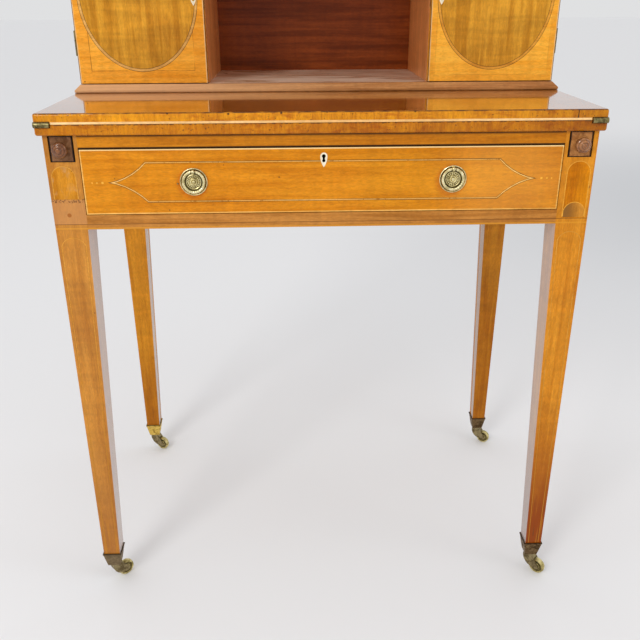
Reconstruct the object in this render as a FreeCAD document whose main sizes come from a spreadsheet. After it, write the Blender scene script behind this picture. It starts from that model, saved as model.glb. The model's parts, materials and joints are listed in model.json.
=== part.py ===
import FreeCAD, Part
import math
import os
import re

import Sketcher

# A writing table with a folding leaf, one long drawer and a low stage of two cupboards at the back.
# Millimetres. The floor is z = 0, the middle of the width is x = 0 and the front faces -Y.

# Driving dimensions
SIZES = {
    # Top and folding leaf
    "table_height": 775,
    "top_width": 746,
    "top_front_overhang": 7,
    "top_back_overhang": 5,
    "top_side_overhang": 7,
    "fixed_top_thickness": 14,
    "leaf_thickness": 14,
    "leaf_depth": 210,
    "leaf_gap": 0.4,
    "leaf_back_gap": 0.8,
    "top_corner_radius": 3.4,
    "top_arris": 3,
    "leather_margin": 42,
    "leather_thickness": 1,
    # Hinges of the leaf
    "leaf_hinge_length": 20.5,
    "leaf_hinge_inset": 0.5,
    "leaf_hinge_reveal": 0.3,
    "leaf_knuckle_radius": 3.8,
    "leaf_knuckle_room": 0.4,
    "leaf_plate_depth": 26,
    "leaf_plate_thickness": 1.8,
    "leaf_pin_radius": 1.5,
    "knuckle_gap": 0.3,
    "pin_clearance": 0.06,
    # Legs and rails
    "leg_depth": 432,
    "leg_width": 44,
    "foot_width": 26.5,
    "frieze_height": 127,
    "bottom_rail_height": 20,
    "top_rail_height": 18,
    "front_rail_depth": 30,
    "rail_thickness": 18,
    "rail_setback": 1,
    "tenon_thickness": 8,
    "tenon_end_cover": 18,
    "tenon_shoulder": 8,
    "front_tenon_length": 16,
    "front_tenon_shoulder": 4,
    "stub_tenon_length": 3,
    # Lopers, which slide out under the open leaf
    "loper_height": 34,
    "loper_back_room": 16,
    "loper_travel": 180,
    "loper_horn": 6.3,
    "loper_inner_horn": 4.7,
    "loper_side_gap": 1.5,
    "loper_top_gap": 0.8,
    "loper_running_gap": 0.3,
    "kicker_width": 16,
    "peg_radius": 2.5,
    "peg_rise": 7,
    "peg_set_back": 20,
    "peg_grip": 6,
    "peg_room": 0.4,
    # Turned knobs of the lopers
    "knob_projection": 17,
    "knob_radius": 10.5,
    "knob_neck_radius": 5.2,
    "knob_foot_radius": 7.5,
    "knob_foot_height": 3,
    "knob_cap_height": 8.5,
    "knob_spigot_radius": 4,
    "knob_spigot_length": 11,
    # Drawer
    "drawer_front_gap": 1,
    "drawer_front_thickness": 20,
    "drawer_side_thickness": 11,
    "drawer_back_thickness": 11,
    "drawer_back_gap": 0.5,
    "drawer_running_gap": 0.3,
    "drawer_top_room": 3,
    "drawer_bottom_thickness": 6,
    "drawer_bottom_rise": 7,
    "drawer_groove": 5,
    "dovetail_lap": 6,
    "dovetail_pin_root": 10,
    "dovetail_pin_tip": 5,
    "runner_width": 14,
    "runner_height": 12,
    "guide_height": 14,
    # Locks and their bone escutcheons
    "escutcheon_width": 9.4,
    "escutcheon_point": 14.6,
    "escutcheon_side_radius": 24,
    "escutcheon_thickness": 1.8,
    "escutcheon_proud": 0.2,
    "escutcheon_drop": 11.4,
    "keyhole_radius": 2.6,
    "keyhole_slot_width": 3,
    "keyhole_foot_radius": 2.2,
    "keyhole_foot_drop": 6,
    "lock_width": 50,
    "lock_height": 34,
    "lock_depth": 9,
    "lock_selvedge": 2,
    "door_lock_width": 28,
    "door_lock_height": 40,
    "door_lock_depth": 7,
    "door_keyhole_inset": 15,
    # Ring pulls of the drawer
    "pull_spacing": 348,
    "plate_radius": 18.6,
    "plate_rim": 1.4,
    "plate_rim_height": 1.8,
    "plate_thickness": 1,
    "boss_radius": 10.6,
    "boss_step_height": 2.2,
    "boss_dome_radius": 7.4,
    "boss_height": 4.8,
    "ring_radius": 13.9,
    "ring_section": 2.1,
    "ring_seat_gap": 0.4,
    "post_radius": 2.6,
    "post_room": 0.4,
    "post_lip": 1.2,
    "ring_pin_radius": 1,
    "ring_pin_reach": 2.5,
    "bolt_radius": 2.2,
    "nut_radius": 5.5,
    "nut_thickness": 3,
    # Stage and cupboards
    "stage_base_height": 12,
    "stage_base_projection": 9.5,
    "stage_side_projection": 8,
    "stage_slope": 7.8,
    "stage_nosing_radius": 2.5,
    "recess_width": 339,
    "cupboard_end_thickness": 11,
    "partition_thickness": 10,
    "stage_back_thickness": 7,
    "stage_back_rebate": 5,
    "housing_depth": 4,
    "door_height": 250,
    "door_thickness": 15,
    "door_gap": 0.6,
    "door_inner_reveal": 0.5,
    "cupboard_top_height": 16,
    "cupboard_top_projection": 8,
    "cupboard_top_ovolo": 7,
    # Butt hinges of the doors
    "door_hinge_height": 36,
    "door_hinge_inset": 40,
    "door_knuckle_radius": 2.5,
    "door_knuckle_room": 0.3,
    "door_plate_width": 9,
    "door_plate_thickness": 1.4,
    "door_pin_radius": 1.2,
    # Casters
    "cup_rim": 62,
    "cup_height": 27,
    "cup_wall": 1.2,
    "cup_lip": 0.7,
    "cup_lip_height": 2,
    "cup_bottom_width": 20,
    "cup_floor_thickness": 2,
    "stem_radius": 3,
    "stem_clearance": 0.08,
    "stem_head_radius": 5,
    "stem_head_height": 1.6,
    "stem_head_room": 0.3,
    "swivel_gap": 0.3,
    "crown_radius": 8,
    "crown_height": 4,
    "wheel_radius": 13.5,
    "wheel_width": 8,
    "wheel_crown": 1,
    "wheel_web": 4.6,
    "wheel_rim_depth": 3,
    "hub_radius": 4,
    "axle_radius": 1.8,
    "axle_clearance": 0.06,
    "axle_head": 0.6,
    "wheel_trail": 17,
    "wheel_room": 1.2,
    "cheek_thickness": 2,
    "cheek_gap": 0.4,
    "cheek_radius": 5,
    "horn_top_half": 6.4,
    "horn_angle": 37,
    "horn_back_radius": 20,
    "front_left_trail_angle": 42,
    "front_right_trail_angle": -45,
    "back_left_trail_angle": -25,
    "back_right_trail_angle": -30,
}

# Places and levels that follow from the driving dimensions
PLACES = {
    "half_top": "top_width / 2",
    "half_span": "half_top - top_side_overhang",
    "tenon_length": "leg_width - tenon_end_cover",
    "front": "(knob_projection - leg_depth - top_back_overhang) / 2",
    "back": "front + leg_depth",
    "top_front": "front - top_front_overhang",
    "top_back": "back + top_back_overhang",
    "leaf_under": "table_height - leaf_thickness",
    "top_face": "leaf_under - leaf_gap",
    "top_under": "top_face - fixed_top_thickness",
    "frieze_under": "top_under - frieze_height",
    "leaf_back": "top_front + leaf_depth",
    "leaf_axis_back": "top_front - leaf_hinge_reveal",
    "leaf_axis_up": "leaf_under - leaf_gap / 2",
    "leaf_hinge_out": "half_top - leaf_hinge_inset",
    "leaf_hinge_in": "leaf_hinge_out - leaf_hinge_length",
    "leg_inside": "half_span - leg_width",
    "rail_outside": "half_span - rail_setback",
    "rail_inside": "rail_outside - rail_thickness",
    "rail_tenon_in": "rail_inside + (rail_thickness - tenon_thickness) / 2",
    "side_rail_front": "front + leg_width",
    "side_rail_back": "back - leg_width",
    "back_rail_back": "back - rail_setback",
    "back_rail_front": "back_rail_back - rail_thickness",
    "back_tenon_front": "back_rail_front + (rail_thickness - tenon_thickness) / 2",
    "front_rail_back": "front + front_rail_depth",
    "front_tenon_front": "front + (front_rail_depth - tenon_thickness) / 2",
    "drawer_floor": "frieze_under + bottom_rail_height",
    "drawer_ceiling": "top_under - top_rail_height",
    "notch_outside": "half_span - loper_horn",
    "notch_inside": "leg_inside + loper_inner_horn",
    "loper_outside": "notch_outside - loper_side_gap",
    "loper_inside": "notch_inside + loper_side_gap",
    "loper_over": "top_under - loper_top_gap",
    "loper_under": "loper_over - loper_height",
    "notch_floor": "loper_under - loper_running_gap",
    "peg_up": "loper_under + peg_rise",
    "loper_length": "leg_depth - leg_width - loper_back_room",
    "peg_back": "front + loper_length - peg_set_back",
    "drawer_half": "leg_inside - drawer_front_gap",
    "drawer_front_under": "drawer_floor + drawer_front_gap",
    "drawer_front_over": "drawer_ceiling - drawer_front_gap",
    "drawer_under": "drawer_floor + drawer_running_gap",
    "drawer_side_height": "drawer_front_over - drawer_top_room - drawer_under",
    "drawer_length": "back_rail_front - drawer_back_gap - front",
    "drawer_inside": "front + drawer_front_thickness",
    "drawer_bottom_under": "drawer_under + drawer_bottom_rise",
    "drawer_bottom_over": "drawer_bottom_under + drawer_bottom_thickness",
    "drawer_middle": "(drawer_front_under + drawer_front_over) / 2",
    "drawer_keyhole_up": "drawer_front_over - escutcheon_drop",
    "escutcheon_half": "escutcheon_width / 2",
    "knob_dome_height": "knob_projection - knob_cap_height",
    "knob_dome_radius": "(knob_radius ^ 2 + knob_dome_height ^ 2) / (2 * knob_dome_height)",
    "boss_rise": "boss_height - boss_step_height",
    "boss_curve": "(boss_dome_radius ^ 2 + boss_rise ^ 2) / (2 * boss_rise)",
    "tread_curve": "(wheel_width ^ 2 / 4 + wheel_crown ^ 2) / (2 * wheel_crown)",
    "ring_lift": "plate_thickness + ring_seat_gap + ring_section",
    "post_height": "ring_lift + ring_pin_radius + post_lip",
    "stage_front": "leaf_back + leaf_back_gap",
    "stage_floor": "table_height + stage_base_height",
    "stage_ceiling": "stage_floor + door_height + 2 * door_gap",
    "stage_top": "stage_ceiling + cupboard_top_height",
    "door_face": "stage_front + stage_base_projection",
    "door_back": "door_face + door_thickness",
    "cupboard_front": "door_back + door_gap",
    "cupboard_half": "half_top - stage_side_projection",
    "end_inside": "cupboard_half - cupboard_end_thickness",
    "recess_half": "recess_width / 2",
    "stage_back_front": "top_back - stage_back_thickness",
    "stage_back_half": "cupboard_half - stage_back_rebate",
    "door_inside": "recess_half + door_inner_reveal",
    "door_outside": "cupboard_half - door_gap",
    "door_under": "stage_floor + door_gap",
    "door_over": "stage_ceiling - door_gap",
    "door_axis_out": "cupboard_half + door_knuckle_radius + door_knuckle_room",
    "door_axis_back": "door_back + door_gap / 2",
    "door_keyhole_out": "door_inside + door_keyhole_inset",
    "door_keyhole_up": "(door_under + door_over) / 2",
    "foot_out": "half_span - foot_width / 2",
    "foot_front": "front + foot_width / 2",
    "foot_back": "back - foot_width / 2",
    "cup_under": "cup_rim - cup_height",
    "cup_floor": "cup_under + cup_floor_thickness",
    "cup_inner_bottom": "cup_bottom_width - 2 * cup_wall",
    "spigot_end": "cup_floor + stem_head_height + 2 * stem_head_room",
    "spigot_end_width": "cup_inner_bottom"
        " + (foot_width - cup_inner_bottom) * (spigot_end - cup_floor) / (cup_rim - cup_floor)",
    "crown_over": "cup_under - swivel_gap",
    "crown_under": "crown_over - crown_height",
    "fork_slot": "wheel_width + 2 * cheek_gap",
    "fork_width": "fork_slot + 2 * cheek_thickness",
    "stem_top": "cup_floor + stem_head_room",
    "eye_rise": "cheek_radius * sin(horn_angle)",
    "eye_reach": "cheek_radius * cos(horn_angle)",
}

doc = FreeCAD.newDocument("BonheurDuJour")
sheet = doc.addObject("Spreadsheet::Sheet", "Sizes")
for row, (alias, size) in enumerate(SIZES.items(), start=1):
    sheet.set(f"A{row}", str(size))
    sheet.setAlias(f"A{row}", alias)
doc.recompute()

UP = FreeCAD.Vector(0, 0, 1)
TURNS = {
    "x": FreeCAD.Rotation(UP, FreeCAD.Vector(1, 0, 0)),
    "y": FreeCAD.Rotation(UP, FreeCAD.Vector(0, 1, 0)),
    "z": FreeCAD.Rotation(),
    "front": FreeCAD.Rotation(FreeCAD.Vector(1, 0, 0), 90),
}
nodes = []


def formula(text):
    """Writes a formula of named sizes and places out in cells of the sheet."""
    def spelled(match):
        name = match.group()
        if name in SIZES:
            return "Sizes." + name
        if name in PLACES:
            return "(" + formula(PLACES[name]) + ")"
        return name
    return re.sub(r"[a-z_]+", spelled, text)


def number(text):
    """The present value of a formula."""
    return float(sheet.evalExpression(formula(text)))


def bind(thing, name, text):
    thing.setExpression(name, formula(text))


def put(thing, x="0", y="0", z="0", turn="z"):
    """Places a thing at a point given by formulas, turned so that its own Z axis runs the given way."""
    thing.Placement = FreeCAD.Placement(FreeCAD.Vector(), TURNS[turn])
    for axis, text in zip("xyz", (x, y, z)):
        bind(thing, "Placement.Base." + axis, text)
    return thing


def node(thing):
    """Marks a thing as a finished piece of the table; its label names the piece."""
    nodes.append(thing)
    return thing


def block(name, x, y, z):
    """A squared board between the given limits."""
    box = doc.addObject("Part::Box", name)
    for side, (low, high) in zip(("Length", "Width", "Height"), (x, y, z)):
        bind(box, side, f"({high}) - ({low})")
    return put(box, x[0], y[0], z[0])


def rod(name, radius, length, at, turn):
    """A round bar that starts at a point and runs along an axis."""
    cylinder = doc.addObject("Part::Cylinder", name)
    bind(cylinder, "Radius", radius)
    bind(cylinder, "Height", length)
    return put(cylinder, *at, turn)


def cut(name, base, *tools):
    """A piece with sockets, grooves and holes taken out of it."""
    tool = tools[0] if len(tools) == 1 else fuse(name + "_tools", *tools)
    result = doc.addObject("Part::Cut", name)
    result.Base = base
    result.Tool = tool
    return result


def fuse(name, *pieces):
    result = doc.addObject("Part::MultiFuse", name)
    result.Shapes = list(pieces)
    return result


def group(name, *pieces):
    """Separate solids that share a name."""
    result = doc.addObject("Part::Compound", name)
    result.Links = list(pieces)
    return result


def mirrored(name, source):
    """The same piece on the other side of the table."""
    result = doc.addObject("Part::Mirroring", name)
    result.Source = source
    result.Normal = FreeCAD.Vector(1, 0, 0)
    return result


def pair(name, right):
    """The right-hand piece and its mirror image as separate solids of one node."""
    return group(name, mirrored(name + "_left", right), right)


def sketch(body, name, plane, offset="0"):
    """An empty sketch on a plane of a body, moved along the plane's normal."""
    drawing = body.newObject("Sketcher::SketchObject", name)
    support = [part for part in body.Origin.OriginFeatures if part.Role == plane][0]
    drawing.AttachmentSupport = [(support, "")]
    drawing.MapMode = "FlatFace"
    bind(drawing, "AttachmentOffset.Base.z", offset)
    return drawing


def arc_between(start, finish, radius, side):
    """An arc of under a half circle: side is 1 for a centre on the left of the way, -1 on the right."""
    way = finish - start
    left = FreeCAD.Vector(-way.y, way.x, 0).normalize()
    height = math.sqrt(radius ** 2 - (way.Length / 2) ** 2)
    centre = (start + finish) * 0.5 + left * (height * side)
    first, last = (start, finish) if side > 0 else (finish, start)
    angles = [math.atan2(end.y - centre.y, end.x - centre.x) for end in (first, last)]
    if angles[1] < angles[0]:
        angles[1] += 2 * math.pi
    return Part.ArcOfCircle(Part.Circle(centre, UP, radius), *angles)


def outline(drawing, points, arcs={}):
    """Joins points into a closed outline; arcs gives the radius and side of each round run."""
    spots = [FreeCAD.Vector(number(across), number(up), 0) for across, up in points]
    runs = []
    for index, start in enumerate(spots):
        finish = spots[(index + 1) % len(spots)]
        first, last = 1, 2
        if index in arcs:
            radius, side = arcs[index]
            run = drawing.addGeometry(arc_between(start, finish, number(radius), side))
            row = drawing.addConstraint(Sketcher.Constraint("Radius", run, number(radius)))
            bind(drawing, f"Constraints[{row}]", radius)
            if side < 0:
                first, last = 2, 1
        else:
            run = drawing.addGeometry(Part.LineSegment(start, finish))
        runs.append((run, first, last))
    for index, (run, first, last) in enumerate(runs):
        following, meeting, _ = runs[(index + 1) % len(runs)]
        drawing.addConstraint(Sketcher.Constraint("Coincident", run, last, following, meeting))
        for kind, text in zip(("DistanceX", "DistanceY"), points[index]):
            row = drawing.addConstraint(Sketcher.Constraint(kind, -1, 1, run, first, number(text)))
            bind(drawing, f"Constraints[{row}]", text)


def rectangle(drawing, x, y):
    outline(drawing, [(x[0], y[0]), (x[1], y[0]), (x[1], y[1]), (x[0], y[1])])


def padded(name, plane, length, points, arcs={}, offset="0"):
    """A body with one outline drawn out along the plane's normal."""
    body = doc.addObject("PartDesign::Body", name)
    drawing = sketch(body, name + "_outline", plane, offset)
    outline(drawing, points, arcs)
    pad = body.newObject("PartDesign::Pad", name + "_pad")
    pad.Profile = drawing
    bind(pad, "Length", length)
    return body


def turned(name, points, arcs={}, plane="XZ_Plane"):
    """A body turned about the upright axis of its sketch."""
    body = doc.addObject("PartDesign::Body", name)
    drawing = sketch(body, name + "_profile", plane)
    outline(drawing, points, arcs)
    revolution = body.newObject("PartDesign::Revolution", name + "_turning")
    revolution.Profile = drawing
    revolution.ReferenceAxis = (drawing, ["V_Axis"])
    return body


def tapered(name, sections):
    """A body with straight sides through rectangles at several levels: (level, x limits, y limits)."""
    body = doc.addObject("PartDesign::Body", name)
    drawings = []
    for index, (level, x, y) in enumerate(sections):
        drawing = sketch(body, f"{name}_section_{index}", "XY_Plane", level)
        rectangle(drawing, x, y)
        drawings.append(drawing)
    loft = body.newObject("PartDesign::AdditiveLoft", name + "_loft")
    loft.Profile = drawings[0]
    loft.Sections = drawings[1:]
    loft.Ruled = True
    return body


def rounded(body, radius, picked):
    """Rounds the edges of a body whose middle points satisfy the test."""
    doc.recompute()
    base = body.Tip
    edges = enumerate(base.Shape.Edges, start=1)
    names = [f"Edge{index}" for index, edge in edges if picked(edge.CenterOfMass)]
    fillet = body.newObject("PartDesign::Fillet", f"{body.Name}_round_{len(body.Group)}")
    fillet.Base = (base, names)
    bind(fillet, "Radius", radius)
    return body


def sloped(body, size, picked):
    """Cuts a slope along the edges of a body whose middle points satisfy the test."""
    doc.recompute()
    base = body.Tip
    edges = enumerate(base.Shape.Edges, start=1)
    names = [f"Edge{index}" for index, edge in edges if picked(edge.CenterOfMass)]
    slope = body.newObject("PartDesign::Chamfer", f"{body.Name}_slope_{len(body.Group)}")
    slope.Base = (base, names)
    bind(slope, "Size", size)
    return body


def near(value, text):
    return abs(value - number(text)) < 1e-6


def board(name, half_width, y, z):
    """A board across the middle of the table, drawn in plan."""
    left = f"-({half_width})"
    corners = [(left, y[0]), (half_width, y[0]), (half_width, y[1]), (left, y[1])]
    return padded(name, "XY_Plane", f"({z[1]}) - ({z[0]})", corners, offset=z[0])


def moulded(body, half_width, front_edge, level, size, worked=rounded):
    """Rounds or slopes a board's front and end edges at one level."""
    def picked(middle):
        return near(middle.z, level) and (near(middle.y, front_edge) or near(abs(middle.x), half_width))
    return worked(body, size, picked)


# Rails, with a tenon at each end

def railed(name, body, tenon):
    """A rail and the tenons that stand out at its two ends."""
    return fuse(name, block(name + "_rail", *body), block(name + "_tenon", *tenon))


def mirrored_span(reach):
    return (f"-({reach})", reach)


notch = block(
    "loper_notch", ("notch_inside", "notch_outside"), ("front", "front + leg_width"),
    ("notch_floor", "top_under"))

right_rail = railed(
    "side_rail_blank",
    [("rail_inside", "rail_outside"), ("side_rail_front", "side_rail_back"), ("frieze_under", "top_under")],
    [("rail_tenon_in", "rail_tenon_in + tenon_thickness"),
     ("side_rail_front - tenon_length", "side_rail_back + tenon_length"),
     ("frieze_under + tenon_shoulder", "notch_floor - tenon_shoulder")])
loper_rebate = block(
    "loper_rebate", ("rail_inside", "notch_outside"), ("side_rail_front", "side_rail_back"),
    ("notch_floor", "top_under"))
right_side_rail = node(cut("right_side_rail", right_rail, loper_rebate))
left_side_rail = node(mirrored("left_side_rail", right_side_rail))

back_rail = node(railed(
    "back_rail",
    [mirrored_span("leg_inside"), ("back_rail_front", "back_rail_back"), ("frieze_under", "top_under")],
    [mirrored_span("leg_inside + tenon_length"),
     ("back_tenon_front", "back_tenon_front + tenon_thickness"),
     ("frieze_under + tenon_shoulder", "top_under - tenon_shoulder")]))

front_bottom_rail = node(railed(
    "front_bottom_rail",
    [mirrored_span("leg_inside"), ("front", "front_rail_back"), ("frieze_under", "drawer_floor")],
    [mirrored_span("leg_inside + front_tenon_length"),
     ("front_tenon_front", "front_tenon_front + tenon_thickness"),
     ("frieze_under + front_tenon_shoulder", "drawer_floor - front_tenon_shoulder")]))

front_top_rail = node(railed(
    "front_top_rail",
    [mirrored_span("leg_inside"), ("front", "front_rail_back"), ("drawer_ceiling", "top_under")],
    [mirrored_span("leg_inside + stub_tenon_length"),
     ("front_tenon_front", "front_tenon_front + tenon_thickness"),
     ("drawer_ceiling + front_tenon_shoulder", "top_under - front_tenon_shoulder")]))


# Legs: square in the frieze, then tapering on their two inner faces down to the caster cups

def leg(name, square, foot, foot_middle):
    """A right-hand leg, given its limits in depth at the frieze and at the foot."""
    middles = ("foot_out", foot_middle)
    spigot = [f"{middle} {sign} spigot_end_width / 2" for middle in middles for sign in "-+"]
    return tapered(name, [
        ("spigot_end", spigot[:2], spigot[2:]),
        ("cup_rim", ("half_span - foot_width", "half_span"), foot),
        ("frieze_under", ("leg_inside", "half_span"), square),
        ("top_under", ("leg_inside", "half_span"), square)])


front_leg = leg("front_leg", ("front", "front + leg_width"), ("front", "front + foot_width"), "foot_front")
back_leg = leg("back_leg", ("back - leg_width", "back"), ("back - foot_width", "back"), "foot_back")
front_right_leg = node(
    cut("front_right_leg", front_leg, notch, right_side_rail, front_bottom_rail, front_top_rail))
front_left_leg = node(mirrored("front_left_leg", front_right_leg))
back_right_leg = node(cut("back_right_leg", back_leg, right_side_rail, back_rail))
back_left_leg = node(mirrored("back_left_leg", back_right_leg))


# Runners that carry the drawer, and guides that keep the lopers straight and the drawer from tipping

runner_level = ("drawer_floor - runner_height", "drawer_floor")
runner = fuse(
    "drawer_runner",
    block("runner_ledge", ("leg_inside - runner_width", "leg_inside"),
          ("front_rail_back", "back_rail_front"), runner_level),
    block("runner_guide", ("leg_inside", "rail_inside"), ("side_rail_front", "side_rail_back"),
          (runner_level[0], "drawer_floor + guide_height")))
node(pair("drawer_runners", runner))

guide = fuse(
    "loper_guide_blank",
    block("loper_guide_wall", ("leg_inside", "notch_inside"), ("side_rail_front", "side_rail_back"),
          ("notch_floor", "top_under")),
    block("drawer_kicker", ("leg_inside - kicker_width", "leg_inside"),
          ("front_rail_back", "back_rail_front"), ("drawer_ceiling", "top_under")))
peg_slot = block(
    "peg_slot", ("leg_inside", "notch_inside"),
    ("peg_back - loper_travel - peg_radius - peg_room", "peg_back + peg_radius + peg_room"),
    ("peg_up - peg_radius - peg_room", "peg_up + peg_radius + peg_room"))
node(pair("loper_guides", cut("loper_guide", guide, peg_slot)))


# Lopers with their turned knobs and stop pegs

loper_bar = block(
    "loper_bar", ("loper_inside", "loper_outside"), ("front", "front + loper_length"),
    ("loper_under", "loper_over"))
knob = turned("right_loper_knob", [
    ("0", "-knob_spigot_length"),
    ("knob_spigot_radius", "-knob_spigot_length"),
    ("knob_spigot_radius", "0"),
    ("knob_foot_radius", "0"),
    ("knob_foot_radius", "knob_foot_height / 2"),
    ("knob_neck_radius", "knob_foot_height"),
    ("knob_neck_radius", "(knob_foot_height + knob_cap_height) / 2"),
    ("knob_radius", "knob_cap_height"),
    ("0", "knob_projection"),
], {7: ("knob_dome_radius", 1)})
put(knob, "(loper_inside + loper_outside) / 2", "front", "(loper_under + loper_over) / 2", "front")
peg = rod(
    "right_loper_peg", "peg_radius", "loper_inside + peg_grip - leg_inside - peg_room",
    ("leg_inside + peg_room", "peg_back", "peg_up"), "x")
for piece in (cut("right_loper", loper_bar, knob, peg), knob, peg):
    node(piece)
    node(mirrored(piece.Name.replace("right", "left"), piece))


# Hinges: each leaf has a plate and its share of three knuckles on the pin

def shifted(at, turn, offset):
    """A point moved along one axis."""
    return tuple(f"({text}) + ({offset})" if axis == turn else text for axis, text in zip("xyz", at))


def hinge_leaf(name, plate, at, turn, length, radius, room, bore, own):
    """A plate that ends in its own thirds of the barrel and makes room for the others."""
    knuckles, rooms = [], []
    for third in range(3):
        inner = third == 1
        if third in own:
            start = f"{length} * {third} / 3" + (" + knuckle_gap / 2" if third else "")
            size = f"{length} / 3 - knuckle_gap" + ("" if inner else " / 2")
            knuckles.append(rod(f"{name}_knuckle_{third}", radius, size, shifted(at, turn, start), turn))
        else:
            start = f"{length} * {third} / 3" + (" - knuckle_gap / 2" if third else "")
            size = f"{length} / 3 + knuckle_gap" + ("" if inner else " / 2")
            wide = f"{radius} + {room}"
            rooms.append(rod(f"{name}_room_{third}", wide, size, shifted(at, turn, start), turn))
    hole = rod(f"{name}_bore", bore, length, at, turn)
    return cut(name, fuse(name + "_solid", cut(name + "_plate", plate, *rooms), *knuckles), hole)


leaf_axis = ("leaf_hinge_in", "leaf_axis_back", "leaf_axis_up")
leaf_plate_limits = [
    ("leaf_hinge_in", "leaf_hinge_out"), ("leaf_axis_back", "leaf_axis_back + leaf_plate_depth")]
fixed_plate = block("leaf_fixed_plate", *leaf_plate_limits, ("top_face - leaf_plate_thickness", "top_face"))
moving_plate = block(
    "leaf_moving_plate", *leaf_plate_limits, ("leaf_under", "leaf_under + leaf_plate_thickness"))
leaf_barrel = ("leaf_hinge_length", "leaf_knuckle_radius", "leaf_knuckle_room")
fixed_hinge = hinge_leaf(
    "leaf_hinge_fixed_half", fixed_plate, leaf_axis, "x", *leaf_barrel, "leaf_pin_radius", (0, 2))
moving_hinge = hinge_leaf(
    "leaf_hinge_moving_half", moving_plate, leaf_axis, "x", *leaf_barrel,
    "leaf_pin_radius + pin_clearance", (1,))
node(pair("leaf_hinge_fixed_plates", fixed_hinge))
node(pair("leaf_hinge_moving_plates", moving_hinge))
barrel_room = rod(
    "leaf_barrel_room", "leaf_knuckle_radius + leaf_knuckle_room", "leaf_hinge_length + 2 * leaf_hinge_inset",
    shifted(leaf_axis, "x", "-leaf_hinge_inset"), "x")
leaf_pin = rod("leaf_hinge_pin", "leaf_pin_radius", "leaf_hinge_length", leaf_axis, "x")


# Fixed top, folding leaf and the leather let into both

def leather(name, z):
    return block(name, mirrored_span("half_top - leather_margin"),
                 ("top_front + leather_margin", "leaf_back - leather_margin"), z)


def top_board(name, y, z):
    """A board of the top with rounded front corners."""
    body = board(name, "half_top", y, z)

    def front_corner(middle):
        return near(abs(middle.x), "half_top") and near(middle.y, y[0])
    return rounded(body, "top_corner_radius", front_corner)


fixed_leather = node(leather("fixed_top_leather", ("top_face - leather_thickness", "top_face")))
leaf_leather = node(leather("writing_leaf_leather", ("leaf_under", "leaf_under + leather_thickness")))

fixed_board = top_board("fixed_top_board", ("top_front", "top_back"), ("top_under", "top_face"))
rounded(fixed_board, "top_arris",
        lambda middle: near(middle.z, "top_under") and not near(middle.y, "top_back"))
node(cut("fixed_top", fixed_board, fixed_leather, fixed_plate, mirrored("left_fixed_plate", fixed_plate),
         pair("fixed_barrel_rooms", barrel_room)))

leaf_board = top_board("writing_leaf_board", ("top_front", "leaf_back"), ("leaf_under", "table_height"))
rounded(leaf_board, "top_arris",
        lambda middle: near(middle.z, "table_height") and not near(middle.y, "leaf_back"))
node(cut("writing_leaf", leaf_board, leaf_leather, moving_plate, mirrored("left_moving_plate", moving_plate),
         pair("moving_barrel_rooms", barrel_room)))

node(block("rear_top", mirrored_span("half_top"), ("stage_front", "top_back"), ("top_face", "table_height")))


# Stage: moulded base, cupboard ends, partitions, back and moulded top

stage_depth = ("cupboard_front", "top_back")
housed = ("stage_floor - housing_depth", "stage_ceiling + housing_depth")
stage_back = node(block(
    "stage_back", mirrored_span("stage_back_half"), ("stage_back_front", "top_back"),
    ("stage_floor", "stage_ceiling")))
end_blank = block("cupboard_end", ("end_inside", "cupboard_half"), stage_depth, housed)
partition = block(
    "partition", ("recess_half", "recess_half + partition_thickness"), ("cupboard_front", "stage_back_front"),
    housed)
partitions = node(pair("cupboard_partitions", partition))

base_blank = board(
    "stage_base_board", "half_top", ("stage_front", "top_back"), ("table_height", "stage_floor"))
moulded(base_blank, "half_top", "stage_front", "stage_floor", "stage_slope", sloped)
moulded(base_blank, "half_top", "stage_front", "table_height", "stage_nosing_radius")
end_blanks = pair("cupboard_ends", end_blank)
node(cut("stage_base", base_blank, partitions, end_blanks))

top_half = "cupboard_half + cupboard_top_projection"
top_edge = "door_face - cupboard_top_projection"
cover = board("cupboard_top_board", top_half, (top_edge, "top_back"), ("stage_ceiling", "stage_top"))
moulded(cover, top_half, top_edge, "stage_top", "cupboard_top_ovolo")
moulded(cover, top_half, top_edge, "stage_ceiling", "stage_nosing_radius")
node(cut("cupboard_top", cover, partitions, end_blanks))


# Locks and escutcheons

def escutcheon(name, x, face, up):
    """A bone shield, round above and pointed below, let into a face with its keyhole at a point."""
    shield = padded(name + "_shield", "XY_Plane", "escutcheon_thickness", [
        ("escutcheon_half", "0"), ("0", "escutcheon_half"), ("-escutcheon_half", "0"),
        ("0", "-escutcheon_point"),
    ], {0: ("escutcheon_half", 1), 1: ("escutcheon_half", 1), 2: ("escutcheon_side_radius", 1),
        3: ("escutcheon_side_radius", 1)})
    return put(shield, x, f"{face} + escutcheon_thickness - escutcheon_proud", up, "front")


def keyhole(name, x, face, up, depth):
    """Two round holes with a slot between them, from the front of the escutcheon to the given depth."""
    length = f"{depth} + escutcheon_proud"
    start = f"{face} - escutcheon_proud"
    slot = block(name + "_slot", (f"{x} - keyhole_slot_width / 2", f"{x} + keyhole_slot_width / 2"),
                 (start, f"{face} + {depth}"), (f"{up} - keyhole_foot_drop", up))
    eye = rod(name + "_eye", "keyhole_radius", length, (x, start, up), "y")
    foot = rod(name + "_foot", "keyhole_foot_radius", length, (x, start, f"{up} - keyhole_foot_drop"), "y")
    return fuse(name, eye, slot, foot)


# Drawer: front with lapped dovetails, sides, back with through dovetails, and a bottom in grooves

TAILS = 3


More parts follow.
